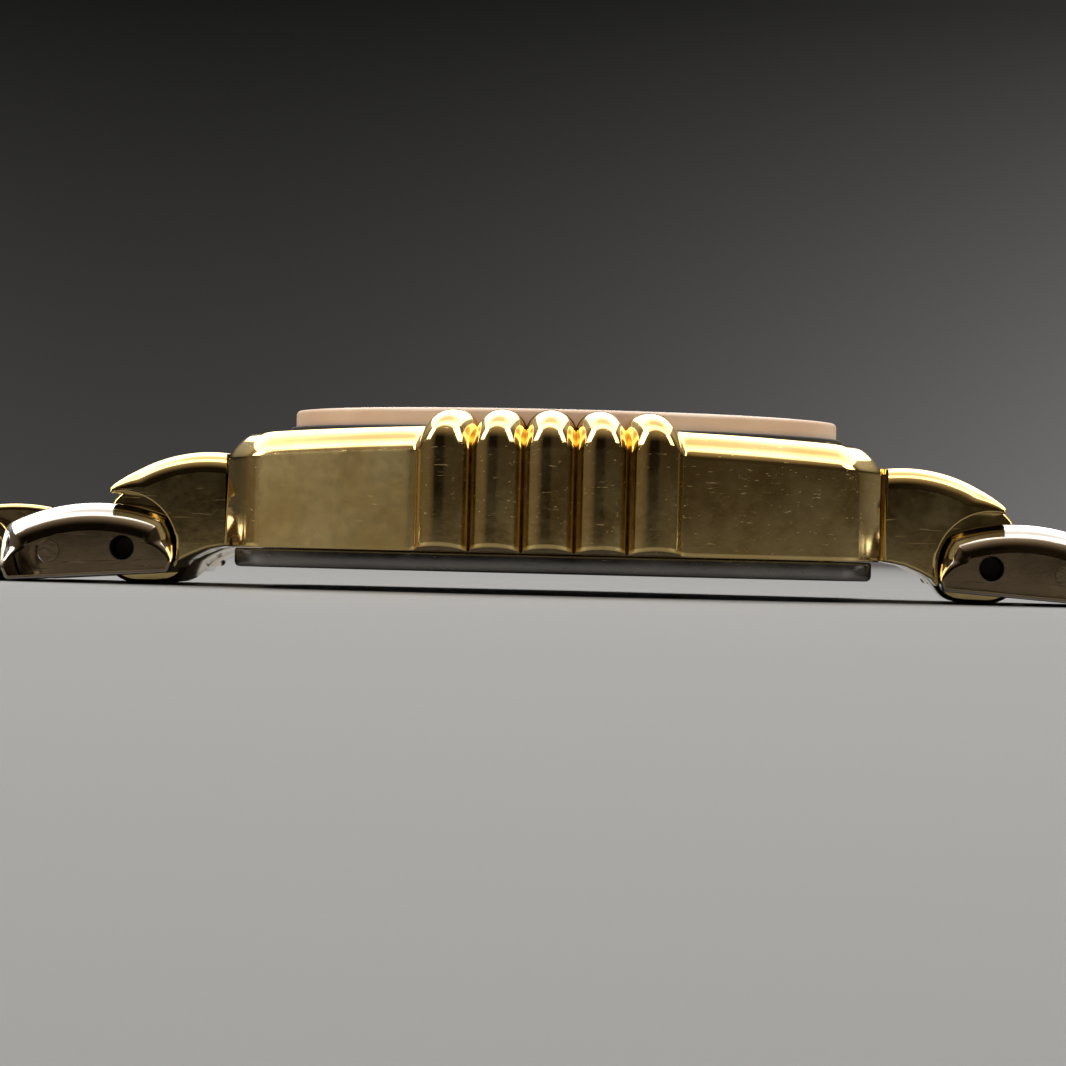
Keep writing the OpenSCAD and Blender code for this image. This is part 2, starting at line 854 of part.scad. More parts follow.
module centre_link(k) color(gold)
  on_pin(2*k)
    difference() {
      intersection() {
        union() {
          for (x = [0, centre_pitch])
            translate([x, 0, 0])
              rod_y(nose_radius, -centre_width/2, centre_width/2, $fn = 48);
          sideways(-centre_width/2, centre_width/2)
            polygon([[step - nose_radius, 0], [lean - nose_radius, link_crown + lean],
              [centre_pitch + nose_radius - lean, link_crown + lean],
              [centre_pitch + nose_radius - step, 0], [centre_pitch, -1.2], [0, -1.2]]);
        }
        translate([centre_pitch/2, 0, link_crown + gold_over - link_top_radius])
          rod_y(link_top_radius, -centre_width, centre_width, $fn = 96);
        translate([-far, -centre_width, -centre_under])
          cube([centre_pitch + 2*far, 2*centre_width, far]);
      }
      for (x = [0, centre_pitch])
        translate([x, 0, 0])
          rod_y(pin_radius + run, -centre_width, centre_width, $fn = 40);
    }

module side_links_6_1() side_links(1);
module side_links_6_2() side_links(2);
module side_links_6_3() side_links(3);
module side_links_6_4() side_links(4);
module side_links_6_5() side_links(5);
module link_pins_6_1() link_pins(1);
module link_pins_6_2() link_pins(2);
module link_pins_6_3() link_pins(3);
module link_pins_6_4() link_pins(4);
module link_pins_6_5() link_pins(5);
module centre_link_6_1() centre_link(1);
module centre_link_6_2() centre_link(2);
module centre_link_6_3() centre_link(3);
module centre_link_6_4() centre_link(4);
module side_links_12_1() mirror([1, 0, 0]) side_links(1);
module side_links_12_2() mirror([1, 0, 0]) side_links(2);
module side_links_12_3() mirror([1, 0, 0]) side_links(3);
module side_links_12_4() mirror([1, 0, 0]) side_links(4);
module side_links_12_5() mirror([1, 0, 0]) side_links(5);
module side_links_12_6() mirror([1, 0, 0]) side_links(6);
module link_pins_12_1() mirror([1, 0, 0]) link_pins(1);
module link_pins_12_2() mirror([1, 0, 0]) link_pins(2);
module link_pins_12_3() mirror([1, 0, 0]) link_pins(3);
module link_pins_12_4() mirror([1, 0, 0]) link_pins(4);
module link_pins_12_5() mirror([1, 0, 0]) link_pins(5);
module link_pins_12_6() mirror([1, 0, 0]) link_pins(6);
module centre_link_12_1() mirror([1, 0, 0]) centre_link(1);
module centre_link_12_2() mirror([1, 0, 0]) centre_link(2);
module centre_link_12_3() mirror([1, 0, 0]) centre_link(3);
module centre_link_12_4() mirror([1, 0, 0]) centre_link(4);
module centre_link_12_5() mirror([1, 0, 0]) centre_link(5);

// Catch: the base and its cover are on the 12 o'clock strand, the loop is on the other.

// The knuckle round the last pin of a strand, with a neck as wide as the centre row.
module strand_knuckle(neck_to) {
  sideways(-centre_width/2, centre_width/2)
    difference() {
      union() {
        intersection() {
          circle(nose_radius, $fn = 48);
          translate([-far, -centre_under])
            square([2*far, far]);
        }
        translate([0, -centre_under])
          square([neck_to, centre_under + base_top]);
      }
      circle(pin_radius + run, $fn = 40);
    }
}

module clasp_base() color(steel)
  mirror([1, 0, 0])
    on_pin(2*links_12) {
      strand_knuckle(neck_end);
      difference() {
        union() {
          translate([base_start, -base_half, -side_under])
            cube([catch_len - base_start - hinge_radius, 2*base_half, catch_sheet]);
          // Two hinge knuckles outside the one on the cover.
          for (s = [-1, 1])
            sideways(s > 0 ? hinge_half + 0.1 : -base_half, s > 0 ? base_half : -hinge_half - 0.1) {
              translate([catch_len, 0])
                circle(hinge_radius, $fn = 40);
              translate([catch_len - hinge_radius - 0.1, -side_under])
                square([hinge_radius + 0.1, side_under]);
            }
        }
        translate([catch_len, 0, 0])
          rod_y(hinge_pin_radius + press, -side_outer, side_outer, $fn = 40);
      }
      // The hook that holds the loop of the other strand.
      translate([hook_x, 0, -side_under]) {
        cylinder(h = hook_height, r = hook_radius, $fn = 40);
        translate([0, 0, hook_height - hook_head_thick])
          cylinder(h = hook_head_thick, r = hook_head_radius, $fn = 40);
      }
    }

module clasp_cover() color(gold)
  mirror([1, 0, 0])
    on_pin(2*links_12)
      difference() {
        sideways(-side_outer, side_outer)
          soft_rectangle(cover_start, catch_len + hinge_radius, cover_low, cover_top, cover_round, $fn = 48);
        // The hollow under the cover's plate.
        translate([cover_start - past, -side_outer + catch_sheet, cover_low - past])
          cube([catch_len + hinge_radius - cover_start + 2*past, 2*(side_outer - catch_sheet),
            hollow_top - cover_low + past]);
        translate([catch_len, 0, 0])
          rod_y(hinge_pin_radius + run, -side_outer - past, side_outer + past, $fn = 40);
      }

module clasp_hinge_pin() color(steel)
  mirror([1, 0, 0])
    on_pin(2*links_12)
      translate([catch_len, 0, 0])
        rod_y(hinge_pin_radius, -side_outer, side_outer, $fn = 40);

module catch_loop() color(gold)
  on_pin(2*links_6) {
    strand_knuckle(loop_neck_end);
    translate([0, 0, -centre_under])
      linear_extrude(catch_sheet)
        difference() {
          translate([loop_neck, -centre_width/2])
            square([loop_len - loop_neck, centre_width]);
          soft_rectangle(loop_window, loop_len - loop_bar, loop_bar - centre_width/2, centre_width/2 - loop_bar,
            loop_round, $fn = 24);
        }
  }

case_middle();
case_back();
case_back_gasket();
case_back_screws();
crystal();
crystal_gasket();
dial();
hour_markers();
movement_ring();
main_plate();
circuit_board();
coil();
battery();
minute_hand();
cannon_pinion();
hour_hand();
hour_wheel();
minute_wheel();
crown_tube();
crown_gasket();
crown();
winding_stem();
end_piece_12();
end_piece_6();
end_piece_screws();
side_links_12_1();
side_links_12_2();
side_links_12_3();
side_links_12_4();
side_links_12_5();
side_links_12_6();
link_pins_12_1();
link_pins_12_2();
link_pins_12_3();
link_pins_12_4();
link_pins_12_5();
link_pins_12_6();
centre_link_12_1();
centre_link_12_2();
centre_link_12_3();
centre_link_12_4();
centre_link_12_5();
side_links_6_1();
side_links_6_2();
side_links_6_3();
side_links_6_4();
side_links_6_5();
link_pins_6_1();
link_pins_6_2();
link_pins_6_3();
link_pins_6_4();
link_pins_6_5();
centre_link_6_1();
centre_link_6_2();
centre_link_6_3();
centre_link_6_4();
clasp_base();
clasp_cover();
clasp_hinge_pin();
catch_loop();
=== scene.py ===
import math

import bpy
from mathutils import Matrix, Vector
from mathutils.geometry import tessellate_polygon


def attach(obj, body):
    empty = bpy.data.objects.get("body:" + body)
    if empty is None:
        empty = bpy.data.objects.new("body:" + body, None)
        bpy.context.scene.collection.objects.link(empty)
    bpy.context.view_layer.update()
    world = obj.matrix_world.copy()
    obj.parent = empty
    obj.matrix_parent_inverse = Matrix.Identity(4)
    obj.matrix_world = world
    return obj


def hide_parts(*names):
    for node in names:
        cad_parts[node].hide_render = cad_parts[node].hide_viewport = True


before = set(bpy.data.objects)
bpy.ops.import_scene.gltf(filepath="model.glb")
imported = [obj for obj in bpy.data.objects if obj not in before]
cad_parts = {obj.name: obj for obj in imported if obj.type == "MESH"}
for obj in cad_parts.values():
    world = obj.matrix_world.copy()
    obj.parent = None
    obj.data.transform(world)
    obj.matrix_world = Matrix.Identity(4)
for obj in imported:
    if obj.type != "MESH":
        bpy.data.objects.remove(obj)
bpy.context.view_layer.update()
MM = 0.001
TAU = 2 * math.pi

# Sizes of the case, as in part.scad, in millimetres.
HALF_LEN = 12.6
HALF_WIDTH = 11.9
SIDE_R = 44.6
CORNER_R = 15.5
RIM_Z = 5.6
TOP_R = 160.0
CASE_BOTTOM = 0.75
FLUTE_HALF = 1.0
FLUTE_STAND = 0.65
FLUTE_BEND = 1.4
CRYSTAL_R = 10.95
CRYSTAL_TOP = 6.3
SEAT_R = 11.18
SEAT_Z = 5.4
BORE_R = 10.4
FLANGE_R = 9.95
DIAL_TOP = 4.5
CROWN_Z = 2.8
BACK_INSET = 0.3
BACK_THICK = 0.72

# Rounding of the plain rim, which is fuller than the CAD's: its width, its height and its power.
RIM_WIDE = 0.9
RIM_TALL = 0.95
RIM_POWER = 1.48

# Sizes of the bracelet, as in part.scad, in millimetres.
PIN_X = 17.0
PIN_Z = 0.6
NOSE_R = 1.4
SIDE_PITCH = 2.9
CENTRE_PITCH = 4.25
SIDE_END_R = 2.05
LINK_CROWN = 1.85
SIDE_UNDER = 1.06
CENTRE_UNDER = 1.0
LINK_TOP_R = 7.6
PIN_R = 0.42
CENTRE_HALF = 3.0
SIDE_INNER = 3.1
SIDE_OUTER = 7.0
CATCH_LEN = 26.0

# Materials. Their lengths are in metres, as Blender's coordinates are.

SEED_SHIFT = (37.0, 61.0, 19.0)
HAIR_SCALE = (500, 11000, 11000)
HAIR_TURNS = ((0.2, 0.1, 0.5), (0.9, 0.4, -0.7), (-0.5, 1.2, 0.3))
HAZE_START, HAZE_FULL = 0.0051, 0.0055
HAZE_REACH = 0.005
HAZE_AT_12, HAZE_AT_6 = 0.95, 0.06
PIN_SUNK, PIN_FLUSH = 0.0062, 0.0068
# Sockets of a colour Mix node.
MIX_A, MIX_B, MIX_RESULT = 6, 7, 2


def fill(nt, node, inputs):
    """Sets inputs of a node to values, or links them to outputs of others."""
    for key, value in inputs.items():
        if isinstance(value, bpy.types.NodeSocket):
            nt.links.new(value, node.inputs[key])
        else:
            node.inputs[key].default_value = value


def add_node(nt, kind, inputs, **settings):
    node = nt.nodes.new("ShaderNode" + kind)
    for key, value in settings.items():
        setattr(node, key, value)
    fill(nt, node, inputs)
    return node


def start_nodes(owner, kind, out_kind):
    """Nodes of a material, light or world: just this shader and its output."""
    owner.use_nodes = True
    nt = owner.node_tree
    nt.nodes.clear()
    shader = add_node(nt, kind, {})
    add_node(nt, out_kind, {"Surface": shader.outputs[0]})
    return nt, shader


def new_material(name, metallic=0.0):
    mat = bpy.data.materials.new(name)
    nt, bsdf = start_nodes(mat, "BsdfPrincipled", "OutputMaterial")
    bsdf.inputs["Metallic"].default_value = metallic
    return mat, nt, bsdf


def axes(nt, output, source="TexCoord"):
    """The X, Y and Z of one output of a new coordinate node."""
    split = add_node(nt, "SeparateXYZ", {0: add_node(nt, source, {}).outputs[output]})
    return [split.outputs[k] for k in "XYZ"]


def coords(nt, scale=(1, 1, 1), rotate=(0, 0, 0), seed=True):
    """Coordinates on the piece. With seed, each piece gets a stretch of the pattern of its own."""
    on_piece = add_node(nt, "TexCoord", {}).outputs["Object"]
    mapping = {"Scale": scale, "Rotation": rotate, "Vector": on_piece}
    mapped = add_node(nt, "Mapping", mapping).outputs["Vector"]
    if not seed:
        return mapped
    random = add_node(nt, "ObjectInfo", {}).outputs["Random"]
    shift = add_node(nt, "VectorMath", {0: SEED_SHIFT, "Scale": random}, operation="SCALE").outputs["Vector"]
    return add_node(nt, "VectorMath", {0: mapped, 1: shift}, operation="ADD").outputs["Vector"]


def noise(nt, vector, scale, detail=3.0, rough=0.5, distortion=0.0):
    inputs = {"Vector": vector, "Scale": scale, "Detail": detail, "Roughness": rough}
    return add_node(nt, "TexNoise", {**inputs, "Distortion": distortion}).outputs["Fac"]


def remap(nt, value, low, high, to_low=0.0, to_high=1.0):
    inputs = {"Value": value, "From Min": low, "From Max": high, "To Min": to_low, "To Max": to_high}
    return add_node(nt, "MapRange", inputs).outputs["Result"]


def maths(nt, operation, a, b=0.0):
    return add_node(nt, "Math", {0: a, 1: b}, operation=operation).outputs[0]


def plus(nt, a, b):
    return maths(nt, "ADD", a, b)


def times(nt, a, b):
    return maths(nt, "MULTIPLY", a, b)


def weigh(nt, a, b, share):
    """This share of a and the rest of b."""
    return plus(nt, times(nt, a, share), times(nt, b, 1 - share))


def mix_colour(nt, fac, a, b):
    ramp = add_node(nt, "ValToRGB", {"Fac": fac})
    for element, colour in zip(ramp.color_ramp.elements, (a, b)):
        element.color = (*colour, 1)
    return ramp.outputs["Color"]


def dress(nt, bsdf, colour, rough, height, depth):
    """Colour, roughness and bumps of a material, with bumps of this depth."""
    bumps = add_node(nt, "Bump", {"Strength": 1.0, "Distance": depth, "Height": height})
    fill(nt, bsdf, {"Base Color": colour, "Roughness": rough, "Normal": bumps.outputs["Normal"]})


def painted_flank_reflection(nt, colour, smear, flank):
    """The colour, with a painted brownish reflection of the gold on faces that look out to the sides of the
    bracelet.
    """
    outward = remap(nt, maths(nt, "ABSOLUTE", axes(nt, "Normal")[1]), 0.75, 0.98)
    mottled = mix_colour(nt, remap(nt, smear, 0.4, 0.6), tuple(0.8 * c for c in flank), flank)
    mix = add_node(nt, "Mix", {"Factor": outward, MIX_A: colour, MIX_B: mottled}, data_type="RGBA")
    return mix.outputs[MIX_RESULT]


def hair_lines(nt):
    """Fine scratches in three directions."""
    hairs = [noise(nt, coords(nt, HAIR_SCALE, turn), 1.0, 2.0, 0.6, 0.3) for turn in HAIR_TURNS]
    a, b, c = (remap(nt, hair, 0.69 + 0.01 * k, 0.76) for k, hair in enumerate(hairs))
    return maths(nt, "MAXIMUM", maths(nt, "MAXIMUM", a, b), c)


def wall_haze(nt, haze):
    """Roughness on the long walls of the case, beside the flutes and strongest towards 12."""
    wall = remap(nt, maths(nt, "ABSOLUTE", axes(nt, "Normal")[1]), 0.88, 0.97)
    along = axes(nt, "Object")[0]
    beside = remap(nt, maths(nt, "ABSOLUTE", along), HAZE_START, HAZE_FULL)
    strength = remap(nt, along, -HAZE_REACH, HAZE_REACH, HAZE_AT_12, HAZE_AT_6)
    mottled = remap(nt, noise(nt, coords(nt), 1500.0, 6.0, 0.7), 0.3, 0.7, 0.75 * haze, 1.15 * haze)
    where = times(nt, wall, times(nt, beside, strength))
    return times(nt, mottled, where)


def polished_metal(name, light, dark, rough, scratch=1.0, flank=None, haze=None):
    """Polished plate: hair scratches, soft smears in the gloss and a slight waviness. flank is the tone of a
    painted reflection on faces to the sides, and haze the roughness that wear adds to the long walls of the
    case."""
    mat, nt, bsdf = new_material(name, 1.0)
    smear = noise(nt, coords(nt), 420.0, 4.0, 0.6)
    fine = noise(nt, coords(nt), 2600.0, 3.0, 0.6)
    colour = mix_colour(nt, remap(nt, smear, 0.35, 0.65), dark, light)
    # Faces to the sides of the bracelet get a painted reflection in their colour.
    if flank:
        colour = painted_flank_reflection(nt, colour, smear, flank)
    lines = hair_lines(nt)
    gloss = remap(nt, weigh(nt, smear, fine, 0.7), 0.35, 0.65, *rough)
    gloss = plus(nt, gloss, times(nt, lines, 0.16 * scratch))
    if haze:
        gloss = plus(nt, gloss, wall_haze(nt, haze))
    height = maths(nt, "SUBTRACT", smear, times(nt, lines, 0.3 * scratch))
    dress(nt, bsdf, colour, gloss, height, 0.0000025)
    return mat


def brushed_metal(name, light, dark, rough=(0.22, 0.4), direction=(30, 9000, 9000)):
    mat, nt, bsdf = new_material(name, 1.0)
    grain = noise(nt, coords(nt, direction), 1.0, 3.0, 0.7)
    patch = noise(nt, coords(nt), 300.0, 3.0, 0.6)
    gloss = remap(nt, weigh(nt, grain, patch, 0.6), 0.35, 0.65, *rough)
    dress(nt, bsdf, mix_colour(nt, remap(nt, grain, 0.3, 0.7), dark, light), gloss, grain, 0.000004)
    return mat


def pin_metal(name):
    """Steel where a pin ends flush with its link, dark where it sits down in its hole."""
    mat, nt, bsdf = new_material(name, 1.0)
    side = maths(nt, "ABSOLUTE", axes(nt, "Object")[1])
    grain = noise(nt, coords(nt), 5000.0, 3.0, 0.6)
    tone = plus(nt, remap(nt, side, PIN_SUNK, PIN_FLUSH, 0.0, 0.9), times(nt, grain, 0.1))
    colour = mix_colour(nt, tone, (0.03, 0.027, 0.024), (0.44, 0.33, 0.2))
    dress(nt, bsdf, colour, remap(nt, tone, 0.0, 1.0, 0.5, 0.12), grain, 0.000002)
    return mat


def matt_solid(name, light, dark, rough, scale=1500.0, metallic=0.0):
    mat, nt, bsdf = new_material(name, metallic)
    grain = noise(nt, coords(nt), scale, 4.0, 0.6)
    colour = mix_colour(nt, remap(nt, grain, 0.3, 0.7), dark, light)
    dress(nt, bsdf, colour, remap(nt, grain, 0.3, 0.7, *rough), grain, 0.00001)
    return mat


def crystal_glass(name):
    mat, nt, bsdf = new_material(name)
    smear = noise(nt, coords(nt), 260.0, 4.0, 0.6)
    fill(nt, bsdf, {"Transmission Weight": 1.0, "IOR": 1.5,
                    "Base Color": mix_colour(nt, smear, (0.96, 0.95, 0.94), (0.99, 0.985, 0.98)),
                    "Roughness": remap(nt, smear, 0.4, 0.7, 0.01, 0.05)})
    return mat


def ground_glass(name):
    """The fine-ground rim of the crystal, milky, with a painted pink reflection of the gold under it."""
    mat, nt, bsdf = new_material(name)
    grain = noise(nt, coords(nt), 7000.0, 3.0, 0.6)
    patch = noise(nt, coords(nt), 240.0, 3.0, 0.5)
    milk_and_gold_reflection = mix_colour(nt, remap(nt, patch, 0.3, 0.7), (0.72, 0.50, 0.37), (0.90, 0.71, 0.56))
    bsdf.inputs["IOR"].default_value = 1.5
    dress(nt, bsdf, milk_and_gold_reflection, remap(nt, grain, 0.3, 0.7, 0.28, 0.42), grain, 0.000003)
    return mat


def dial_lacquer(name):
    """Champagne lacquer over a fine radial brushing."""
    mat, nt, bsdf = new_material(name, 0.25)
    x, y, _ = axes(nt, "Object")
    around = add_node(nt, "CombineXYZ", {"X": maths(nt, "ARCTAN2", y, x)})
    rays = noise(nt, around.outputs[0], 90.0, 4.0, 0.7)
    speck = noise(nt, coords(nt, seed=False), 9000.0, 2.0, 0.5)
    lacquer = mix_colour(nt, remap(nt, rays, 0.3, 0.7), (0.40, 0.345, 0.25), (0.47, 0.41, 0.31))
    fill(nt, bsdf, {"Coat Weight": 0.4, "Coat Roughness": 0.08})
    dress(nt, bsdf, lacquer, remap(nt, weigh(nt, rays, speck, 0.7), 0.3, 0.7, 0.3, 0.45), rays, 0.000006)
    return mat


def floor_paint(name, light, dark):
    mat, nt, bsdf = new_material(name)
    grain = noise(nt, coords(nt, seed=False), 14.0, 3.0, 0.5)
    fill(nt, bsdf, {"Base Color": mix_colour(nt, grain, dark, light), "Roughness": 0.55})
    return mat


GOLD = polished_metal("polished_gold", (0.88, 0.68, 0.31), (0.83, 0.60, 0.24), (0.06, 0.12))
CASE_GOLD = polished_metal("case_gold", (0.88, 0.68, 0.31), (0.80, 0.57, 0.22), (0.06, 0.12), scratch=1.5,
                           haze=0.36)
# flank is a painted brownish reflection on the side faces of the steel links.
STEEL = polished_metal("polished_steel", (0.78, 0.76, 0.73), (0.70, 0.68, 0.65), (0.07, 0.14),
                       flank=(0.46, 0.34, 0.2))
COVER_STEEL = polished_metal("cover_steel", (0.76, 0.75, 0.73), (0.68, 0.67, 0.65), (0.09, 0.17), scratch=1.5)
# The case back's steel is darkened far below real steel: painted shade under the case.
SHADED_BACK_STEEL = polished_metal("back_steel_painted_shade", (0.34, 0.33, 0.31), (0.26, 0.25, 0.24), (0.16, 0.28), scratch=2.0)
BRUSHED = brushed_metal("brushed_steel", (0.66, 0.66, 0.66), (0.5, 0.5, 0.5))
PIN_STEEL = pin_metal("pin_steel")
# A darker brown, rougher gold for the valleys between the flutes.
GROOVE_BROWN = matt_solid("groove_brown_gold", (0.46, 0.27, 0.11), (0.2, 0.11, 0.045), (0.35, 0.5), 2500.0, 0.9)
# Nearly black, for the wall of a pin hole.
HOLE_DARK = matt_solid("pin_hole_dark", (0.02, 0.018, 0.016), (0.008, 0.007, 0.006), (0.6, 0.8), 3000.0)
GLASS = crystal_glass("crystal_glass")
GROUND = ground_glass("ground_glass")
INK = matt_solid("dial_ink", (0.03, 0.028, 0.025), (0.015, 0.014, 0.013), (0.35, 0.5))
DIAL = dial_lacquer("dial_lacquer")
RUBBER = matt_solid("black_rubber", (0.03, 0.03, 0.03), (0.012, 0.012, 0.012), (0.6, 0.8))
RING_PLASTIC = matt_solid("ring_plastic", (0.62, 0.61, 0.58), (0.52, 0.51, 0.48), (0.4, 0.55))
BOARD = matt_solid("circuit_board_mask", (0.03, 0.12, 0.06), (0.015, 0.07, 0.035), (0.25, 0.4), 900.0)
COPPER = brushed_metal("coil_wire", (0.6, 0.28, 0.12), (0.35, 0.14, 0.05), (0.25, 0.4), (20000, 600, 20000))
GEAR_BRASS = brushed_metal("gear_brass", (0.74, 0.58, 0.28), (0.6, 0.44, 0.18), (0.25, 0.4))

# Meshes. Shapes are (points, faces) in millimetres.

# Width of the strip inside a rounding that keeps a flat end flat in smooth shading.
FLAT_STRIP = 0.02
HALVINGS = 40


def new_mesh(name, shape, material, angle=30.0):
    """A mesh with smooth shading, except over edges sharper than angle."""
    me = bpy.data.meshes.new(name)
    me.from_pydata([(v[0] * MM, v[1] * MM, v[2] * MM) for v in shape[0]], [], shape[1])
    me.update()
    me.materials.append(material)
    me.shade_smooth()
    me.set_sharp_from_angle(angle=math.radians(angle))
    return me


def add_object(name, data):
    ob = bpy.data.objects.new(name, data)
    bpy.context.scene.collection.objects.link(ob)
    return ob


def place(name, me, body, replaces, matrix=None):
    """A piece of the watch that moves with this body and is seen instead of the nodes it replaces."""
    ob = add_object(name, me)
    if matrix is not None:
        ob.matrix_world = matrix
    bpy.context.view_layer.update()
    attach(ob, body)
    if replaces:
        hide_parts(*replaces)
    return ob


def make(name, shape, material, body, replaces, angle=30.0, matrix=None):
    return place(name, new_mesh(name, shape, material, angle), body, replaces, matrix)


def second_material(me, material, chosen):
    """Gives the mesh one more material, on the faces that chosen picks."""
    me.materials.append(material)
    for poly in me.polygons:
        poly.material_index = 1 if chosen(poly) else 0


def arc(cx, cz, r, a0, a1, n):
    return [(cx + r * math.cos(math.radians(a0 + (a1 - a0) * i / n)),
             cz + r * math.sin(math.radians(a0 + (a1 - a0) * i / n))) for i in range(n + 1)]


def circle(cx, cz, r, n=32):
    return [(cx + r * math.cos(TAU * q / n), cz + r * math.sin(TAU * q / n)) for q in range(n)]


def smooth_max(values, k):
    m = max(values)
    return m + k * math.log(sum(math.exp((v - m) / k) for v in values))


def smooth_step(a, b, v):
    t = max(0.0, min(1.0, (v - a) / (b - a)))
    return t * t * (3 - 2 * t)


def ray_point(centre, angle, fn, reach):
    """Where fn crosses zero on the ray from the centre at this angle."""
    c, s = math.cos(angle), math.sin(angle)
    lo, hi = 0.0, reach
    for _ in range(HALVINGS):
        mid = (lo + hi) / 2
        if fn(centre[0] + c * mid, centre[1] + s * mid) < 0:
            lo = mid
        else:
            hi = mid
    return centre[0] + c * lo, centre[1] + s * lo


def even_outline(centre, fn, reach, n):
    """The outline where fn is zero, as n evenly spaced points, found on many rays from the centre."""
    rays = 720
    pts = [ray_point(centre, TAU * i / rays, fn, reach) for i in range(rays)]
    lens = [0.0]
    for a, b in zip(pts, pts[1:] + pts[:1]):
        lens.append(lens[-1] + math.hypot(b[0] - a[0], b[1] - a[1]))
    out, j = [], 0
    for i in range(n):
        t = lens[-1] * i / n
        while lens[j + 1] < t:
            j += 1
        u = (t - lens[j]) / max(lens[j + 1] - lens[j], 1e-12)
        a, b = pts[j], pts[(j + 1) % len(pts)]
        out.append((a[0] + (b[0] - a[0]) * u, a[1] + (b[1] - a[1]) * u))
    return out


def loop_normals(pts):
    """Outward normals of a loop that runs counter-clockwise."""
    n = len(pts)
    out = []
    for i in range(n):
        a, b = pts[i - 1], pts[(i + 1) % n]
        dx, dz = b[0] - a[0], b[1] - a[1]
        length = math.hypot(dx, dz) or 1.0
        out.append((dz / length, -dx / length))
    return out


def ccw(pts):
    area = sum(a[0] * b[1] - b[0] * a[1] for a, b in zip(pts, pts[1:] + pts[:1]))
    return pts if area > 0 else pts[::-1]


def rounded_rectangle(x0, x1, y0, y1, r, n=8):
    pts = []
    corners = ((x1 - r, y0 + r, -90), (x1 - r, y1 - r, 0), (x0 + r, y1 - r, 90), (x0 + r, y0 + r, 180))
    for cx, cy, a in corners:
        pts += arc(cx, cy, r, a, a + 90, n)
    return pts


def end_cap(flat, faces, base, n, height, flip, holes, bevel):
    """Closes one end of a prism round its holes. Returns where each hole's inner ring of points starts."""
    loops = [[Vector((flat[base + i][0], flat[base + i][2], 0)) for i in range(n)]]
    index = [base + i for i in range(n)]
    inner_rings = []
    for hole in holes:
        m = len(hole)
        start = len(flat)
        flat += [(p[0] + q[0] * bevel, height, p[1] + q[1] * bevel)
                 for p, q in zip(hole, loop_normals(hole))]
        inner = len(flat)
        flat += [(p[0], height - bevel if flip else height + bevel, p[1]) for p in hole]
        for q in range(m):
            r = (q + 1) % m
            quad = (start + q, inner + q, inner + r, start + r)
            faces.append(quad if flip else quad[::-1])
        loops.append([Vector((flat[start + q][0], flat[start + q][2], 0)) for q in range(m)])
        index += [start + q for q in range(m)]
        inner_rings.append(inner)
    joined = [p for loop in loops for p in loop]
    for tri in tessellate_polygon(loops):
        a, b, c = (joined[i] for i in tri)
        area = (b.x - a.x) * (c.y - a.y) - (b.y - a.y) * (c.x - a.x)
        tri = tuple(index[i] for i in tri)
        faces.append(tri[::-1] if (area > 0) == flip else tri)
    return inner_rings


def prism(pts, lo, hi, radius, outer=None, steps=5, holes=(), hole_bevel=0.06, plane="xz"):
    """A solid with this section from lo to hi along the third axis. radius is the rounding of the edge at
    lo, and outer at hi if it differs: one number or a function of the point. holes are loops, cut through."""
    n = len(pts)
    near = [radius(p) if callable(radius) else radius for p in pts]
    far = near if outer is None else [outer(p) if callable(outer) else outer for p in pts]
    normals = loop_normals(pts)
    flat, faces, rings = [], [], []

    def ring(roundings, height, sign, a):
        rings.append(len(flat))
        for p, m, r in zip(pts, normals, roundings):
            inset = r * (1 - math.sin(a))
            flat.append((p[0] - m[0] * inset, height + sign * r * (1 - math.cos(a)), p[1] - m[1] * inset))

    def cap_ring(roundings, height):
        rings.append(len(flat))
        flat.extend((p[0] - m[0] * (r + FLAT_STRIP), height, p[1] - m[1] * (r + FLAT_STRIP))
                    for p, m, r in zip(pts, normals, roundings))

    cap_ring(near, lo)
    for j in range(steps + 1):
        ring(near, lo, 1, math.pi / 2 * j / steps)
    for j in range(steps, -1, -1):
        ring(far, hi, -1, math.pi / 2 * j / steps)
    cap_ring(far, hi)
    for a, b in zip(rings, rings[1:]):
        for i in range(n):
            k = (i + 1) % n
            faces.append((a + i, b + i, b + k, a + k))
    low_rings = end_cap(flat, faces, rings[0], n, lo, False, holes, hole_bevel)
    high_rings = end_cap(flat, faces, rings[-1], n, hi, True, holes, hole_bevel)
    for hole, a, b in zip(holes, low_rings, high_rings):
        m = len(hole)
        for q in range(m):
            r = (q + 1) % m
            faces.append((a + q, a + r, b + r, b + q))
    if plane == "xz":
        return flat, faces
    # The other plane is xy.
    return [(a, c, b) for a, b, c in flat], [q[::-1] for q in faces]


def join(*parts):
    verts, faces = [], []
    for v, f in parts:
        base = len(verts)
        verts += v
        faces += [tuple(i + base for i in q) for q in f]
    return verts, faces


def lathe(profile, n, axis="z", at=(0, 0, 0), radial=None):
    """Turns (radius, height) points about an axis. Points with no radius close the shape. radial alters the
    radius round the axis."""
    verts, faces, rows = [], [], []
    for r, h in profile:
        if r < 1e-6:
            rows.append([len(verts)])
            ring = [(0.0, 0.0, h)]
        else:
            rows.append(list(range(len(verts), len(verts) + n)))
            ring = []
            for i in range(n):
                t = TAU * i / n
                rr = r if radial is None else radial(r, t)
                ring.append((rr * math.cos(t), rr * math.sin(t), h))
        for x, y, z in ring:
            if axis == "z":
                verts.append((at[0] + x, at[1] + y, at[2] + z))
            else:
                verts.append((at[0] + y, at[1] + z, at[2] + x))
    for a, b in zip(rows, rows[1:]):
        for i in range(n):
            k = (i + 1) % n
            if len(a) == 1:
                faces.append((a[0], b[k], b[i]))
            elif len(b) == 1:
                faces.append((a[i], a[k], b[0]))
            else:
                faces.append((a[i], a[k], b[k], b[i]))
    return verts, faces

# Case

FLUTE_R = (FLUTE_HALF ** 2 + FLUTE_STAND ** 2) / (2 * FLUTE_STAND)
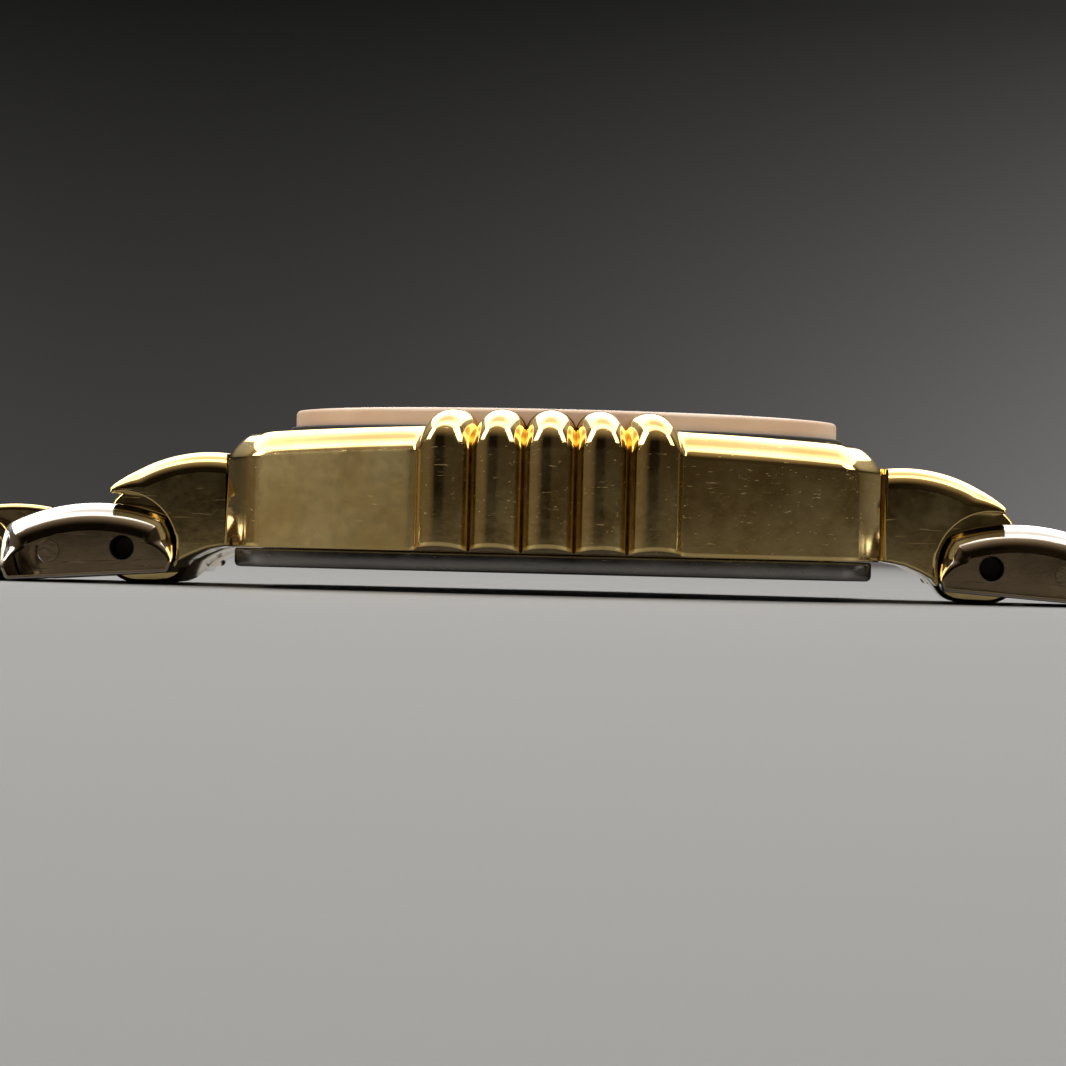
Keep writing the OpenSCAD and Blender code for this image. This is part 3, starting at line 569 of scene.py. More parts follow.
# Flutes on each side of the middle one, and where the crest of the last one is.
LAST_FLUTE = 2
LAST_CREST = 2 * FLUTE_HALF * LAST_FLUTE
FLUTE_STEPS = 12
FLANK_FALL = 2.25
FLANK_HOLLOW = 0.12
FLANK_END = 6.2
CORNER_BLEND = 0.035
CORNER_STEPS = 76
PLAN_REACH = 20.0
GROOVE_HALF = 0.07
# Rows of points in a column of the case: up the wall, over its edge, and along the top.
WALL_ROWS = 36
EDGE_ROWS = 14
TOP_ROWS = 8
# The darker brown lies on these rows, from the foot of the wall to the start of the edge.
GROOVE_BROWN_ROWS = range(3, 44)
# The round pocket for the crown: no flute inside POCKET_R, whole flutes outside POCKET_EDGE.
POCKET_R = 2.05
POCKET_EDGE = 2.14
COLLAR = 0.07
FINE_TURN = 192


def wall_y(x):
    return HALF_WIDTH - SIDE_R + math.sqrt(SIDE_R * SIDE_R - x * x)


def top_z(x):
    return RIM_Z - x * x / (2 * TOP_R)


def plan_fn(x, y, inset=0.0):
    """Zero on the outline of the case seen from above, or as far inside it as inset says."""
    side = math.hypot(x, abs(y) + SIDE_R - HALF_WIDTH) - SIDE_R + inset
    return smooth_max((abs(x) - HALF_LEN + inset, side, math.hypot(x, y) - (CORNER_R - inset)), CORNER_BLEND)


def flute_rise(x):
    """How far the flutes stand out of the wall and above the rim at this x."""
    i = max(-LAST_FLUTE, min(LAST_FLUTE, round(x / (2 * FLUTE_HALF))))
    dx = abs(x - i * 2 * FLUTE_HALF)
    if dx <= FLUTE_HALF:
        rise = math.sqrt(FLUTE_R ** 2 - dx * dx) - (FLUTE_R - FLUTE_STAND)
    else:
        rise = -FLANK_FALL * (dx - FLUTE_HALF)
    if abs(x) > LAST_CREST:
        # The outer flank runs into the wall in a hollow.
        k = FLANK_HOLLOW * smooth_step(LAST_CREST, 4.9, abs(x))
        rise = (rise + math.sqrt(rise * rise + 4 * k * k)) / 2 * (1 - smooth_step(5.1, FLANK_END, abs(x)))
    return max(0.0, rise)


def case_columns():
    """The upright strips of the case, counter-clockwise: plan point, rise of the flutes, side."""
    half_angle = math.asin(FLUTE_HALF / FLUTE_R)
    xs = []
    for i in range(-LAST_FLUTE, LAST_FLUTE + 1):
        for k in range(0 if i == -LAST_FLUTE else 1, 2 * FLUTE_STEPS + 1):
            xs.append(i * 2 * FLUTE_HALF + FLUTE_R * math.sin(half_angle * (k / FLUTE_STEPS - 1)))
    flank = [xs[-1] + (FLANK_END - xs[-1]) * k / FLUTE_STEPS for k in range(1, FLUTE_STEPS + 1)]
    xs = [-x for x in reversed(flank)] + xs + flank
    corner = math.atan2(wall_y(FLANK_END), FLANK_END)
    cols = []
    for side in (1, -1):
        start = -corner if side == 1 else math.pi - corner
        for k in range(1, CORNER_STEPS):
            angle = start + 2 * corner * k / CORNER_STEPS
            cols.append((ray_point((0, 0), angle, plan_fn, PLAN_REACH), 0.0, 0))
        for x in (reversed(xs) if side == 1 else xs):
            cols.append(((x, wall_y(x) * side), flute_rise(x), side))
    return cols


def in_groove(col):
    """True in the narrow valley between two flutes, which is coloured darker brown."""
    (x, _), _, side = col
    return side != 0 and abs(x) < LAST_CREST and abs(abs(x) % (2 * FLUTE_HALF) - FLUTE_HALF) < GROOVE_HALF


def case_column(point, rise, side, normal):
    """The closed section of the case at one plan point: bottom, wall, edge, top, seat, flange and bore."""
    (px, py), (nx, ny) = point, normal
    away = math.hypot(px, py)
    rx, ry = -px / away, -py / away
    qx, qy = -rx * SEAT_R, -ry * SEAT_R
    # Flutes run towards the centre; the plain rim is square to the wall.
    t = smooth_step(5.0, FLANK_END, abs(px)) if side else 1.0
    dx, dy = rx * (1 - t) - nx * t, ry * (1 - t) - ny * t
    length = math.hypot(dx, dy)
    dx, dy = dx / length, dy / length
    fluted = min(1.0, rise / FLUTE_STAND)
    wide = RIM_WIDE + (FLUTE_BEND - RIM_WIDE) * fluted
    tall = RIM_TALL + (FLUTE_BEND - RIM_TALL) * fluted
    power = RIM_POWER + (1.0 - RIM_POWER) * fluted
    column = []

    def at(inward, z):
        column.append((px + dx * inward, py + dy * inward, z))

    def out_at(z):
        if side == 1 and rise > 0:
            return rise * smooth_step(POCKET_R, POCKET_EDGE, math.hypot(px, z - CROWN_Z))
        return rise

    column.append((-rx * BORE_R, -ry * BORE_R, CASE_BOTTOM))
    at(0.9, CASE_BOTTOM)
    at(0.07, CASE_BOTTOM)
    low = CASE_BOTTOM + 0.05 + 0.2 * fluted
    stand = out_at(low)
    for inward, z in ((0.02, low - 0.035), (0.005, low - 0.012), (0.0, low + 0.03)):
        at(inward - stand, z)
    low += 0.03
    high = top_z(px) + rise - tall
    for k in range(1, WALL_ROWS):
        z = low + (high - low) * k / WALL_ROWS
        at(-out_at(z), z)
    for k in range(EDGE_ROWS + 1):
        a = math.pi / 2 * k / EDGE_ROWS
        z = high + tall * math.sin(a) ** power
        at(wide * (1 - max(0.0, math.cos(a)) ** power) - out_at(z), z)
    ax, ay = px + dx * (wide - rise), py + dy * (wide - rise)
    # The top slopes up to the collar that keeps the seat of the crystal closed at 12 and 6.
    collar = max(0.0, SEAT_Z + COLLAR - top_z(qx))
    for k in range(1, TOP_ROWS):
        t = k / TOP_ROWS
        x, y = ax + (qx - ax) * t, ay + (qy - ay) * t
        column.append((x, y, top_z(x) + rise + collar * t * t))
    lip = top_z(qx) + rise + collar
    for back, drop in ((0.06, 0.0), (0.015, 0.02), (0.0, 0.07)):
        column.append((qx - rx * back, qy - ry * back, lip - drop))
    for r, z in ((SEAT_R, SEAT_Z), (FLANGE_R + 0.05, SEAT_Z), (FLANGE_R, SEAT_Z - 0.05),
                 (FLANGE_R, DIAL_TOP + 0.01), (BORE_R, DIAL_TOP + 0.01)):
        column.append((-rx * r, -ry * r, z))
    return column


def build_case():
    """The shape of the case, and for each face whether it is coloured darker brown."""
    cols = case_columns()
    normals = loop_normals([point for point, _, _ in cols])
    sections = [case_column(*col, normal) for col, normal in zip(cols, normals)]
    verts = [v for section in sections for v in section]
    rows = len(sections[0])
    faces, dark = [], []
    for i in range(len(cols)):
        k = (i + 1) % len(cols)
        groove = in_groove(cols[i]) and in_groove(cols[k])
        for j in range(rows):
            m = (j + 1) % rows
            faces.append((k * rows + j, k * rows + m, i * rows + m, i * rows + j))
            dark.append(groove and j in GROOVE_BROWN_ROWS)
    return (verts, faces), dark


case_shape, dark = build_case()
case_shell = make("case_shell", case_shape, CASE_GOLD, "case", ["case_middle"])
second_material(case_shell.data, GROOVE_BROWN, lambda poly: dark[poly.index])

# Crystal: flat top, ground side, softened edge. Its seal is the thin ring round it.
CRYSTAL_LOW = 5.41
CRYSTAL_EDGE = 0.18
SIDE_LOW = CRYSTAL_LOW + 0.06
SIDE_HIGH = CRYSTAL_TOP - CRYSTAL_EDGE
SEAL_IN = CRYSTAL_R + 0.01
SEAL_OUT = SEAT_R - 0.01
SEAL_TOP = 5.61

profile = [(0, CRYSTAL_LOW), (CRYSTAL_R - 0.08, CRYSTAL_LOW)]
profile += [(CRYSTAL_R, SIDE_LOW + (SIDE_HIGH - SIDE_LOW) * k / 5) for k in range(6)]
profile += arc(CRYSTAL_R - CRYSTAL_EDGE, SIDE_HIGH, CRYSTAL_EDGE, 0, 90, 9)[1:]
profile += [(CRYSTAL_R * 0.6, CRYSTAL_TOP), (0, CRYSTAL_TOP)]
crystal = make("crystal_glass_disc", lathe(profile, FINE_TURN), GLASS, "case", ["crystal"], 40.0)
second_material(crystal.data, GROUND, lambda poly: poly.center.xy.length > (CRYSTAL_R - 0.1) * MM)

seal = [(SEAL_IN, CRYSTAL_LOW), (SEAL_OUT, CRYSTAL_LOW), (SEAL_OUT, SEAL_TOP - 0.05),
        (SEAL_OUT - 0.05, SEAL_TOP), (SEAL_IN + 0.04, SEAL_TOP), (SEAL_IN, SEAL_TOP - 0.03),
        (SEAL_IN, CRYSTAL_LOW)]
make("crystal_seal", lathe(seal, FINE_TURN), RUBBER, "case", ["crystal_gasket"])

# Case back: thin plate with rounded edges, its spigot, and the holes and seats of the screws.
SCREW_X = HALF_LEN - 2.4
SCREW_Y = HALF_WIDTH - 3.4
SCREW_HOLE_R = 0.78
SPIGOT_IN = BORE_R - 0.73
SPIGOT_OUT = BORE_R - 0.03
SPIGOT_LOW = 0.6
SPIGOT_TOP = 1.2
SPIGOT_EDGE = 0.05

screws = [(sx * SCREW_X, sy * SCREW_Y) for sx in (1, -1) for sy in (1, -1)]
back_points = even_outline((0, 0), lambda x, y: plan_fn(x, y, BACK_INSET), PLAN_REACH, 240)
plate = prism(ccw(back_points), 0.0, BACK_THICK, 0.2, outer=0.1, hole_bevel=0.05, plane="xy",
              holes=[circle(x, y, SCREW_HOLE_R) for x, y in screws])
spigot = lathe([(SPIGOT_IN, SPIGOT_LOW), (SPIGOT_OUT, SPIGOT_LOW), (SPIGOT_OUT, SPIGOT_TOP - SPIGOT_EDGE),
                (SPIGOT_OUT - SPIGOT_EDGE, SPIGOT_TOP), (SPIGOT_IN + SPIGOT_EDGE, SPIGOT_TOP),
                (SPIGOT_IN, SPIGOT_TOP - SPIGOT_EDGE), (SPIGOT_IN, SPIGOT_LOW)], 128)
seat_section = [(0.4, 0.43), (0.86, 0.43), (0.86, 0.6), (0.4, 0.6), (0.4, 0.43)]
seats = [lathe(seat_section, 32, at=(x, y, 0)) for x, y in screws]
make("case_back_plate", join(plate, spigot, *seats), SHADED_BACK_STEEL, "case", ["case_back"])

# End pieces, drawn about their pins with the strand towards +x.

REACH_BACK = HALF_LEN - PIN_X
HOLLOW_R = SIDE_END_R + 0.15
UNDER = [(REACH_BACK, 0.2), (-3.95, 0.14), (-3.4, 0.04), (-2.8, -0.2), (-2.3, -0.46)]
# The top is an arc of this radius about (END_TOP_X, END_TOP_Z).
END_TOP_R = 6.0
END_TOP_X = -3.45
END_TOP_Z = -2.15
TOP_STEP = 0.16
BLOCK_TIP = 0.5
BLOCK_INNER = 2.95
BLOCK_OUTER = 7.2
# The tongue that reaches into the case.
TONGUE = ((-5.9, 1.4), (-4.4, 1.4), (-4.4, 2.6), (-5.9, 2.6))
TONGUE_HALF = 4.0


def top_arc_z(x):
    return END_TOP_Z + math.sqrt(max(0.0, END_TOP_R ** 2 - (x - END_TOP_X) ** 2))


def top_line(start):
    """Points along the top, from this x back to the case."""
    xs = [start - i * TOP_STEP for i in range(40)]
    return [(x, top_arc_z(x)) for x in xs if x > REACH_BACK + 0.06] + [(REACH_BACK, top_arc_z(REACH_BACK))]


def end_profile():
    """Side view of the nose of an end piece."""
    pts = UNDER + [(-2.05, -0.75), (-1.85, -1.0), (-1.6, -1.2), (-1.3, -1.33), (-0.8, -1.39)]
    pts += arc(0, 0, NOSE_R, -90, -4, 16)
    pts += [(1.37, 0.35), (1.33, 0.8), (1.29, 1.2), (1.24, 1.42), (1.12, 1.6)]
    return pts + top_line(0.95)


def block_profile():
    """The wide block beside the nose, hollowed round the ends of the steel links."""
    pts = UNDER + [(-2.16, -0.63)] + arc(0, 0, HOLLOW_R, 199, 77.5, 30)
    pts += [(BLOCK_TIP, top_arc_z(BLOCK_TIP) - 0.06), (BLOCK_TIP - 0.05, top_arc_z(BLOCK_TIP - 0.05) - 0.01)]
    return pts + top_line(BLOCK_TIP - TOP_STEP)


def end_round(p):
    """Rounding of the outer edge at each point of the block: wide along its top, small where it thins out."""
    if p[0] <= REACH_BACK + 0.01:
        return 0.3
    thick = math.hypot(p[0], p[1]) - HOLLOW_R
    if p[1] > 1.3 and thick > 0.01:
        return min(0.8, max(0.04, 0.85 * thick))
    return 0.1 if p[1] < 0.6 else 0.04


def strand_matrix(sgn, x, z, droop):
    """From a drawing about a pin, strand towards +x, to the watch. sgn is 1 on the 6 o'clock strand."""
    move = Matrix.Translation((sgn * x * MM, 0, z * MM))
    turn = Matrix.Rotation(droop * sgn, 4, "Y")
    if sgn > 0:
        return move @ turn
    return move @ turn @ Matrix.Rotation(math.pi, 4, "Z")


nose = prism(ccw(end_profile()), -CENTRE_HALF, CENTRE_HALF, 0.14)
blocks = [prism(ccw(block_profile()), y0, y1, a, outer=b, steps=7)
          for y0, y1, a, b in ((-BLOCK_OUTER, -BLOCK_INNER, end_round, 0.03),
                               (BLOCK_INNER, BLOCK_OUTER, 0.03, end_round))]
tongue = prism(ccw(TONGUE), -TONGUE_HALF, TONGUE_HALF, 0.05, steps=2)
end_mesh = new_mesh("end_piece_gold", join(nose, *blocks, tongue), GOLD)
for tag, sgn in (("12", -1), ("6", 1)):
    place(f"end_piece_gold_{tag}", end_mesh, "case", [f"end_piece_{tag}"],
          strand_matrix(sgn, PIN_X, PIN_Z, 0))

# Bracelet

# The strands droop from the case until they lie flat, level with the undersides of the noses.
FLOOR_Z = PIN_Z - NOSE_R
FLAT_Z = FLOOR_Z + SIDE_UNDER
HEEL = math.sqrt(SIDE_END_R ** 2 - SIDE_UNDER ** 2)
REACH = SIDE_PITCH + HEEL
DROP_1 = math.asin((NOSE_R - 0.02) / math.hypot(REACH, SIDE_UNDER)) - math.atan2(SIDE_UNDER, REACH)
DROP_2 = math.asin((PIN_Z - SIDE_PITCH * math.sin(DROP_1) - FLAT_Z) / CENTRE_PITCH)
PIN_2_X = PIN_X + SIDE_PITCH * math.cos(DROP_1)
PIN_3_X = PIN_2_X + CENTRE_PITCH * math.cos(DROP_2)
LINK_BLEND = 0.03
LINK_POINTS = 128
LINK_REACH = 12.0
# Roundings of the outer edges of a side link, and of a centre link: along the top, and underneath.
SIDE_ROUND = (1.1, 0.14)
CENTRE_ROUND = (0.22, 0.12)
INNER_ROUND = 0.12


def pin_at(n):
    """Place of the pin with this number, counted from the case, and how far the link after it droops."""
    if n == 1:
        return PIN_X, PIN_Z, DROP_1
    if n == 2:
        return PIN_2_X, PIN_Z - SIDE_PITCH * math.sin(DROP_1), DROP_2
    return PIN_3_X + (SIDE_PITCH + CENTRE_PITCH) * ((n - 3) // 2) + SIDE_PITCH * ((n - 3) % 2), FLAT_Z, 0.0


def side_fn(x, z):
    d = x - SIDE_PITCH if x > SIDE_PITCH else min(x, 0.0)
    dome = math.hypot(x - SIDE_PITCH / 2, z - LINK_CROWN + LINK_TOP_R) - LINK_TOP_R
    return smooth_max((math.hypot(d, z) - SIDE_END_R, dome, -SIDE_UNDER - z), LINK_BLEND)


def centre_fn(x, z):
    top = LINK_CROWN + 0.08
    dome = math.hypot(x - CENTRE_PITCH / 2, z - top + LINK_TOP_R) - LINK_TOP_R
    near = -x if x < CENTRE_PITCH / 2 else x - CENTRE_PITCH
    if z > 0:
        end = near - NOSE_R + 0.05 + z * 0.035
    else:
        end = math.hypot(near, z) - NOSE_R if near > 0 else -NOSE_R
    return smooth_max((end, dome, -CENTRE_UNDER - z), LINK_BLEND)


def link_round(big, small):
    """A rounding that grows from small underneath to big at the height of the pins."""
    def radius(p):
        t = max(0.0, min(1.0, (p[1] + 0.6) / 0.9))
        return small + (big - small) * t
    return radius


pin_holes = (circle(0, 0, PIN_R + 0.06), circle(SIDE_PITCH, 0, PIN_R + 0.005))
side_points = even_outline((SIDE_PITCH / 2, 0.2), side_fn, LINK_REACH, LINK_POINTS)
side_shape = join(*(prism(side_points, y0, y1, a, outer=b, steps=10, holes=pin_holes, hole_bevel=0.02)
                    for y0, y1, a, b in ((SIDE_INNER, SIDE_OUTER, INNER_ROUND, link_round(*SIDE_ROUND)),
                                         (-SIDE_OUTER, -SIDE_INNER, link_round(*SIDE_ROUND), INNER_ROUND))))
side_mesh = new_mesh("steel_links", side_shape, STEEL)
# The wall of the hole that the first pin sits in is coloured nearly black.
second_material(side_mesh, HOLE_DARK, lambda poly: math.hypot(poly.center.x, poly.center.z) < (PIN_R + 0.07) * MM)
centre_points = even_outline((CENTRE_PITCH / 2, 0.2), centre_fn, LINK_REACH, LINK_POINTS)
centre_shape = prism(centre_points, -CENTRE_HALF, CENTRE_HALF, link_round(*CENTRE_ROUND))
centre_mesh = new_mesh("gold_link", centre_shape, GOLD)

for tag, sgn, count in (("12", -1, 6), ("6", 1, 5)):
    for k in range(1, count + 1):
        place(f"steel_links_{tag}_{k}", side_mesh, f"links_{tag}_{k}", [f"side_links_{tag}_{k}"],
              strand_matrix(sgn, *pin_at(2 * k - 1)))
        if k < count:
            place(f"gold_link_{tag}_{k}", centre_mesh, f"middle_{tag}_{k}", [f"centre_link_{tag}_{k}"],
                  strand_matrix(sgn, *pin_at(2 * k)))

# Catch. Cover and base are drawn about the last pin of the 12 strand, the loop about that of the 6 strand.

CLASP_X = pin_at(12)[0]
LOOP_X = pin_at(10)[0]
SHEET = 0.7
BASE_HALF = 6.25
BASE_LOW = -SIDE_UNDER
BASE_TOP = BASE_LOW + SHEET
HINGE_R = 0.95
HINGE_HOLE_R = 0.41
HOOK_X = 9.0
COVER_X0 = 3.3
COVER_X1 = CATCH_LEN + HINGE_R
COVER_LOW = -0.95
COVER_TOP = 1.62
COVER_BEND = 0.55
COVER_INSIDE = 6.3
COVER_ROOF = 1.0
COVER_ROUND = 0.3
# Half of a groove across the cover: distance from its middle, and depth.
GROOVE = ((0.16, 0.0), (0.1, 0.03), (0.03, 0.16))
# The row of gold segments along the middle of the cover.
ROW_LOW = 1.42
ROW_TOP = 1.7
SEGMENTS = 6
SEGMENT_LEN = (COVER_X1 - COVER_X0) / SEGMENTS


def knuckle(neck_to, rounding):
    """Round end about the last pin, cut flat below, with a neck on the strand's far side."""
    top = SHEET - SIDE_UNDER
    a_low = -math.degrees(math.asin(CENTRE_UNDER / NOSE_R))
    a_top = math.degrees(math.asin(top / NOSE_R))
    section = arc(0, 0, NOSE_R, a_top, 180 - a_low, 36) + [(neck_to, -CENTRE_UNDER), (neck_to, top)]
    hole = circle(0, 0, PIN_R + 0.04)
    return prism(ccw(section), -CENTRE_HALF, CENTRE_HALF, rounding, steps=4, holes=(hole,))


def channel(outer, inner, stations):
    """An open channel along x: outer and inner section lines (y, z), and (x, inset of the outer line)."""
    n = len(outer)
    normals = []
    for i in range(n):
        a, b = outer[max(i - 1, 0)], outer[min(i + 1, n - 1)]
        dy, dz = b[0] - a[0], b[1] - a[1]
        length = math.hypot(dy, dz) or 1.0
        normals.append((-dz / length, dy / length))
    verts, faces = [], []
    for x, inset in stations:
        verts += [(x, p[0] - m[0] * inset, p[1] - m[1] * inset) for p, m in zip(outer, normals)]
        verts += [(x, p[0], p[1]) for p in reversed(inner)]
    row = 2 * n
    last = len(stations) - 1
    for a in range(last):
        for i in range(row):
            k = (i + 1) % row
            faces.append((a * row + i, a * row + k, (a + 1) * row + k, (a + 1) * row + i))
    for base, flip in ((0, False), (last * row, True)):
        for i in range(n - 1):
            quad = (base + i, base + row - 1 - i, base + row - 2 - i, base + i + 1)
            faces.append(quad if flip else quad[::-1])
    return verts, faces


def mirrored(half):
    """A whole section line of the cover from the half on the left."""
    return half + [(-y, z) for y, z in reversed(half)]


def cover_stations():
    """Rounded ends, and a groove between each two segments."""
    rounding = [(COVER_ROUND * (1 - math.cos(a)), COVER_ROUND * (1 - math.sin(a)))
                for a in (math.radians(15 * k) for k in range(7))]
    stations = [(COVER_X0 + along, inset) for along, inset in rounding]
    for k in range(1, SEGMENTS):
        middle = COVER_X0 + SEGMENT_LEN * k
        stations += [(middle - along, inset) for along, inset in GROOVE]
        stations += [(middle + along, inset) for along, inset in reversed(GROOVE)]
    return stations + [(COVER_X1 - along, inset) for along, inset in reversed(rounding)]


def gold_segment(k):
    """A segment with a top that falls off towards both ends. The first and last stop short of the end."""
    x0 = COVER_X0 + SEGMENT_LEN * k + (0.12 if k else 0.2)
    x1 = COVER_X0 + SEGMENT_LEN * (k + 1) - (0.12 if k < SEGMENTS - 1 else 0.2)
    top = [(x1 + (x0 - x1) * t / 16, ROW_TOP - 0.1 * (2 * t / 16 - 1) ** 4) for t in range(17)]
    return prism(ccw([(x0, ROW_LOW), (x1, ROW_LOW)] + top), -CENTRE_HALF, CENTRE_HALF, 0.1, steps=4)


# The two lines of the cover's section have the same number of points, because channel pairs them.
outer_half = [(-SIDE_OUTER, z) for z in (COVER_LOW, 0.0, 0.9)]
outer_half += arc(COVER_BEND - SIDE_OUTER, COVER_TOP - COVER_BEND, COVER_BEND, 180, 90, 8)[1:]
outer_half += [(-5.4, COVER_TOP + 0.02), (-4.2, COVER_TOP + 0.02), (-3.2, COVER_TOP),
               (-3.1, COVER_TOP - 0.04), (-3.08, 1.45), (-1.5, 1.45)]
inner_half = [(-COVER_INSIDE, z) for z in (COVER_LOW, 0.0, 0.5, 0.75)]
inner_half += [(-6.29, 0.85), (-6.27, 0.92), (-6.23, 0.97), (-6.17, 0.99)]
inner_half += [(-y, COVER_ROOF) for y in (6.1, 6.0, 5.9, 5.4, 4.2, 3.2, 3.0, 2.5, 1.5)]
cover = channel(mirrored(outer_half), mirrored(inner_half), cover_stations())
clasp_m = strand_matrix(-1, CLASP_X, FLAT_Z, 0)
make("clasp_cover_shell", cover, COVER_STEEL, "cover", ["clasp_cover"], matrix=clasp_m)
row_shape = join(*(gold_segment(k) for k in range(SEGMENTS)))
make("clasp_cover_row", row_shape, GOLD, "cover", (), matrix=clasp_m)

base_plan = rounded_rectangle(3.0, CATCH_LEN - HINGE_R, -BASE_HALF, BASE_HALF, 0.5)
base_plate = prism(ccw(base_plan), BASE_LOW, BASE_TOP, 0.12, steps=4, plane="xy")
base_knuckle = knuckle(3.4, 0.12)
hinge_points = arc(CATCH_LEN, 0.0, HINGE_R, -90, 180, 30)
hinge_points += [(CATCH_LEN - HINGE_R, BASE_LOW + 0.05), (CATCH_LEN - 0.9, BASE_LOW), (CATCH_LEN, BASE_LOW)]
hinge_knuckles = [prism(ccw(hinge_points), y0, y1, 0.1, steps=4, holes=(circle(CATCH_LEN, 0, HINGE_HOLE_R),))
                  for y0, y1 in ((-BASE_HALF, -SIDE_INNER), (SIDE_INNER, BASE_HALF))]
# The hook is a mushroom that stands on the base.
hook_section = [(0, BASE_LOW + 0.1), (0.95, BASE_TOP - 0.02), (0.8, BASE_TOP + 0.1), (0.8, 0.4), (0.86, 0.44),
                (1.08, 0.46), (1.15, 0.53), (1.15, 0.66), (1.08, 0.76), (0.9, 0.79), (0, 0.79)]
hook = lathe(hook_section, 64, at=(HOOK_X, 0, 0))
base_shape = join(base_plate, base_knuckle, *hinge_knuckles, hook)
make("clasp_base_plate", base_shape, BRUSHED, "clasp", ["clasp_base"], matrix=clasp_m)

loop_window = rounded_rectangle(3.6, 7.5, -1.9, 1.9, 0.35, 6)
loop_plate = prism(ccw(rounded_rectangle(2.6, 8.6, -CENTRE_HALF, CENTRE_HALF, 0.6)), -CENTRE_UNDER,
                   SHEET - CENTRE_UNDER, 0.16, steps=4, holes=(loop_window,), hole_bevel=0.14, plane="xy")
loop_knuckle = knuckle(2.9, 0.14)
make("catch_loop_gold", join(loop_plate, loop_knuckle), GOLD, "loop", ["catch_loop"],
     matrix=strand_matrix(1, LOOP_X, FLAT_Z, 0))

# Dial, hands and crown

MARKER_OUT = FLANGE_R - 0.6
MARKER_LEN = 1.9
TRACK_IN = 9.5
TRACK_OUT = 9.78
REST_HOUR = 10
REST_MINUTE = 10
MINUTE_LEN = 7.6
MINUTE_Z = 5.1
HOUR_LEN = 5.2
HOUR_Z = 4.84
CROWN_IN = HALF_WIDTH + 0.15
CROWN_LEN = 1.9
CROWN_RIDGES = 24
RIDGE_DEPTH = 0.15


def spin(shape, angle):
    """Turns a shape drawn along +x to a dial angle in degrees, clockwise from 12."""
    a = math.radians(180 - angle)
    c, s = math.cos(a), math.sin(a)
    return [(x * c - y * s, x * s + y * c, z) for x, y, z in shape[0]], shape[1]


def baton(x0, x1, wide, z0, z1, z2):
    """A marker with a roof-shaped top."""
    w, e = wide / 2, wide / 2.4
    verts = [(x0, -w, z0), (x1, -w, z0), (x1, w, z0), (x0, w, z0),
             (x0, -w, z1), (x1, -w, z1), (x1, w, z1), (x0, w, z1), (x0 + e, 0, z2), (x1 - e, 0, z2)]
    faces = [(3, 2, 1, 0), (0, 1, 5, 4), (1, 2, 6, 5), (2, 3, 7, 6), (3, 0, 4, 7),
             (4, 5, 9, 8), (5, 6, 9), (6, 7, 8, 9), (7, 4, 8)]
    return verts, faces


def hour_marker(i):
    """The markers at 12, 3, 6 and 9 are longer and wider."""
    long = i % 3 == 0
    shape = baton(MARKER_OUT - MARKER_LEN, MARKER_OUT - (0.0 if long else 0.3), 0.52 if long else 0.3,
                  DIAL_TOP, DIAL_TOP + 0.07, DIAL_TOP + 0.16)
    return spin(shape, 30 * i)


def minute_tick(i):
    w = 0.05 if i % 5 == 0 else 0.03
    plan = [(TRACK_IN, -w), (TRACK_OUT, -w), (TRACK_OUT, w), (TRACK_IN, w)]
    return spin(prism(plan, DIAL_TOP - 0.01, DIAL_TOP + 0.012, 0.004, steps=1, plane="xy"), 6 * i)


def faceted_hand(length, half, boss, hole, z):
    """A hand along +x with a ridge down its middle, round a boss with a hole. half is half of its width."""
    tail, tip = 1.6, 0.5
    plan = [(-tail, -0.6 * half), (0, -half), (length - tip, -0.55 * half), (length, 0),
            (length - tip, 0.55 * half), (0, half), (-tail, 0.6 * half)]
    verts = [(x, y, z) for x, y in plan] + [(x, y, z + 0.05) for x, y in plan]
    verts += [(-tail + 0.15, 0, z + 0.1), (0, 0, z + 0.12), (length - tip, 0, z + 0.12)]
    faces = [tuple(range(6, -1, -1))] + [(i, (i + 1) % 7, 7 + (i + 1) % 7, 7 + i) for i in range(7)]
    faces += [(7, 8, 15, 14), (8, 9, 16, 15), (9, 10, 16), (10, 11, 16), (11, 12, 15, 16), (12, 13, 14, 15),
              (13, 7, 14)]
    ring = lathe([(hole, z), (boss - 0.03, z), (boss, z + 0.03), (boss, z + 0.08), (boss - 0.05, z + 0.12),
                  (hole + 0.04, z + 0.12), (hole, z + 0.08), (hole, z)], 64)
    return join((verts, faces), ring)


def knurl(r, t):
    """Grooves between the ridges, round the widest part of the crown."""
    if r < 1.75:
        return r
    return r - RIDGE_DEPTH * (0.5 + 0.5 * math.cos(CROWN_RIDGES * t)) ** 1.4


make("hour_batons", join(*(hour_marker(i) for i in range(12))), GOLD, "case", ["hour_markers"], 20.0)
make("dial_minute_track", join(*(minute_tick(i) for i in range(60))), INK, "case", ())
minute_shape = spin(faceted_hand(MINUTE_LEN, 0.28, 0.7, 0.43, MINUTE_Z), 6 * REST_MINUTE)
make("minute_hand_faceted", minute_shape, GOLD, "minute", ["minute_hand"], 20.0)
hour_shape = spin(faceted_hand(HOUR_LEN, 0.36, 1.05, 0.73, HOUR_Z), 30 * REST_HOUR + REST_MINUTE / 2)
make("hour_hand_faceted", hour_shape, GOLD, "hour", ["hour_hand"], 20.0)

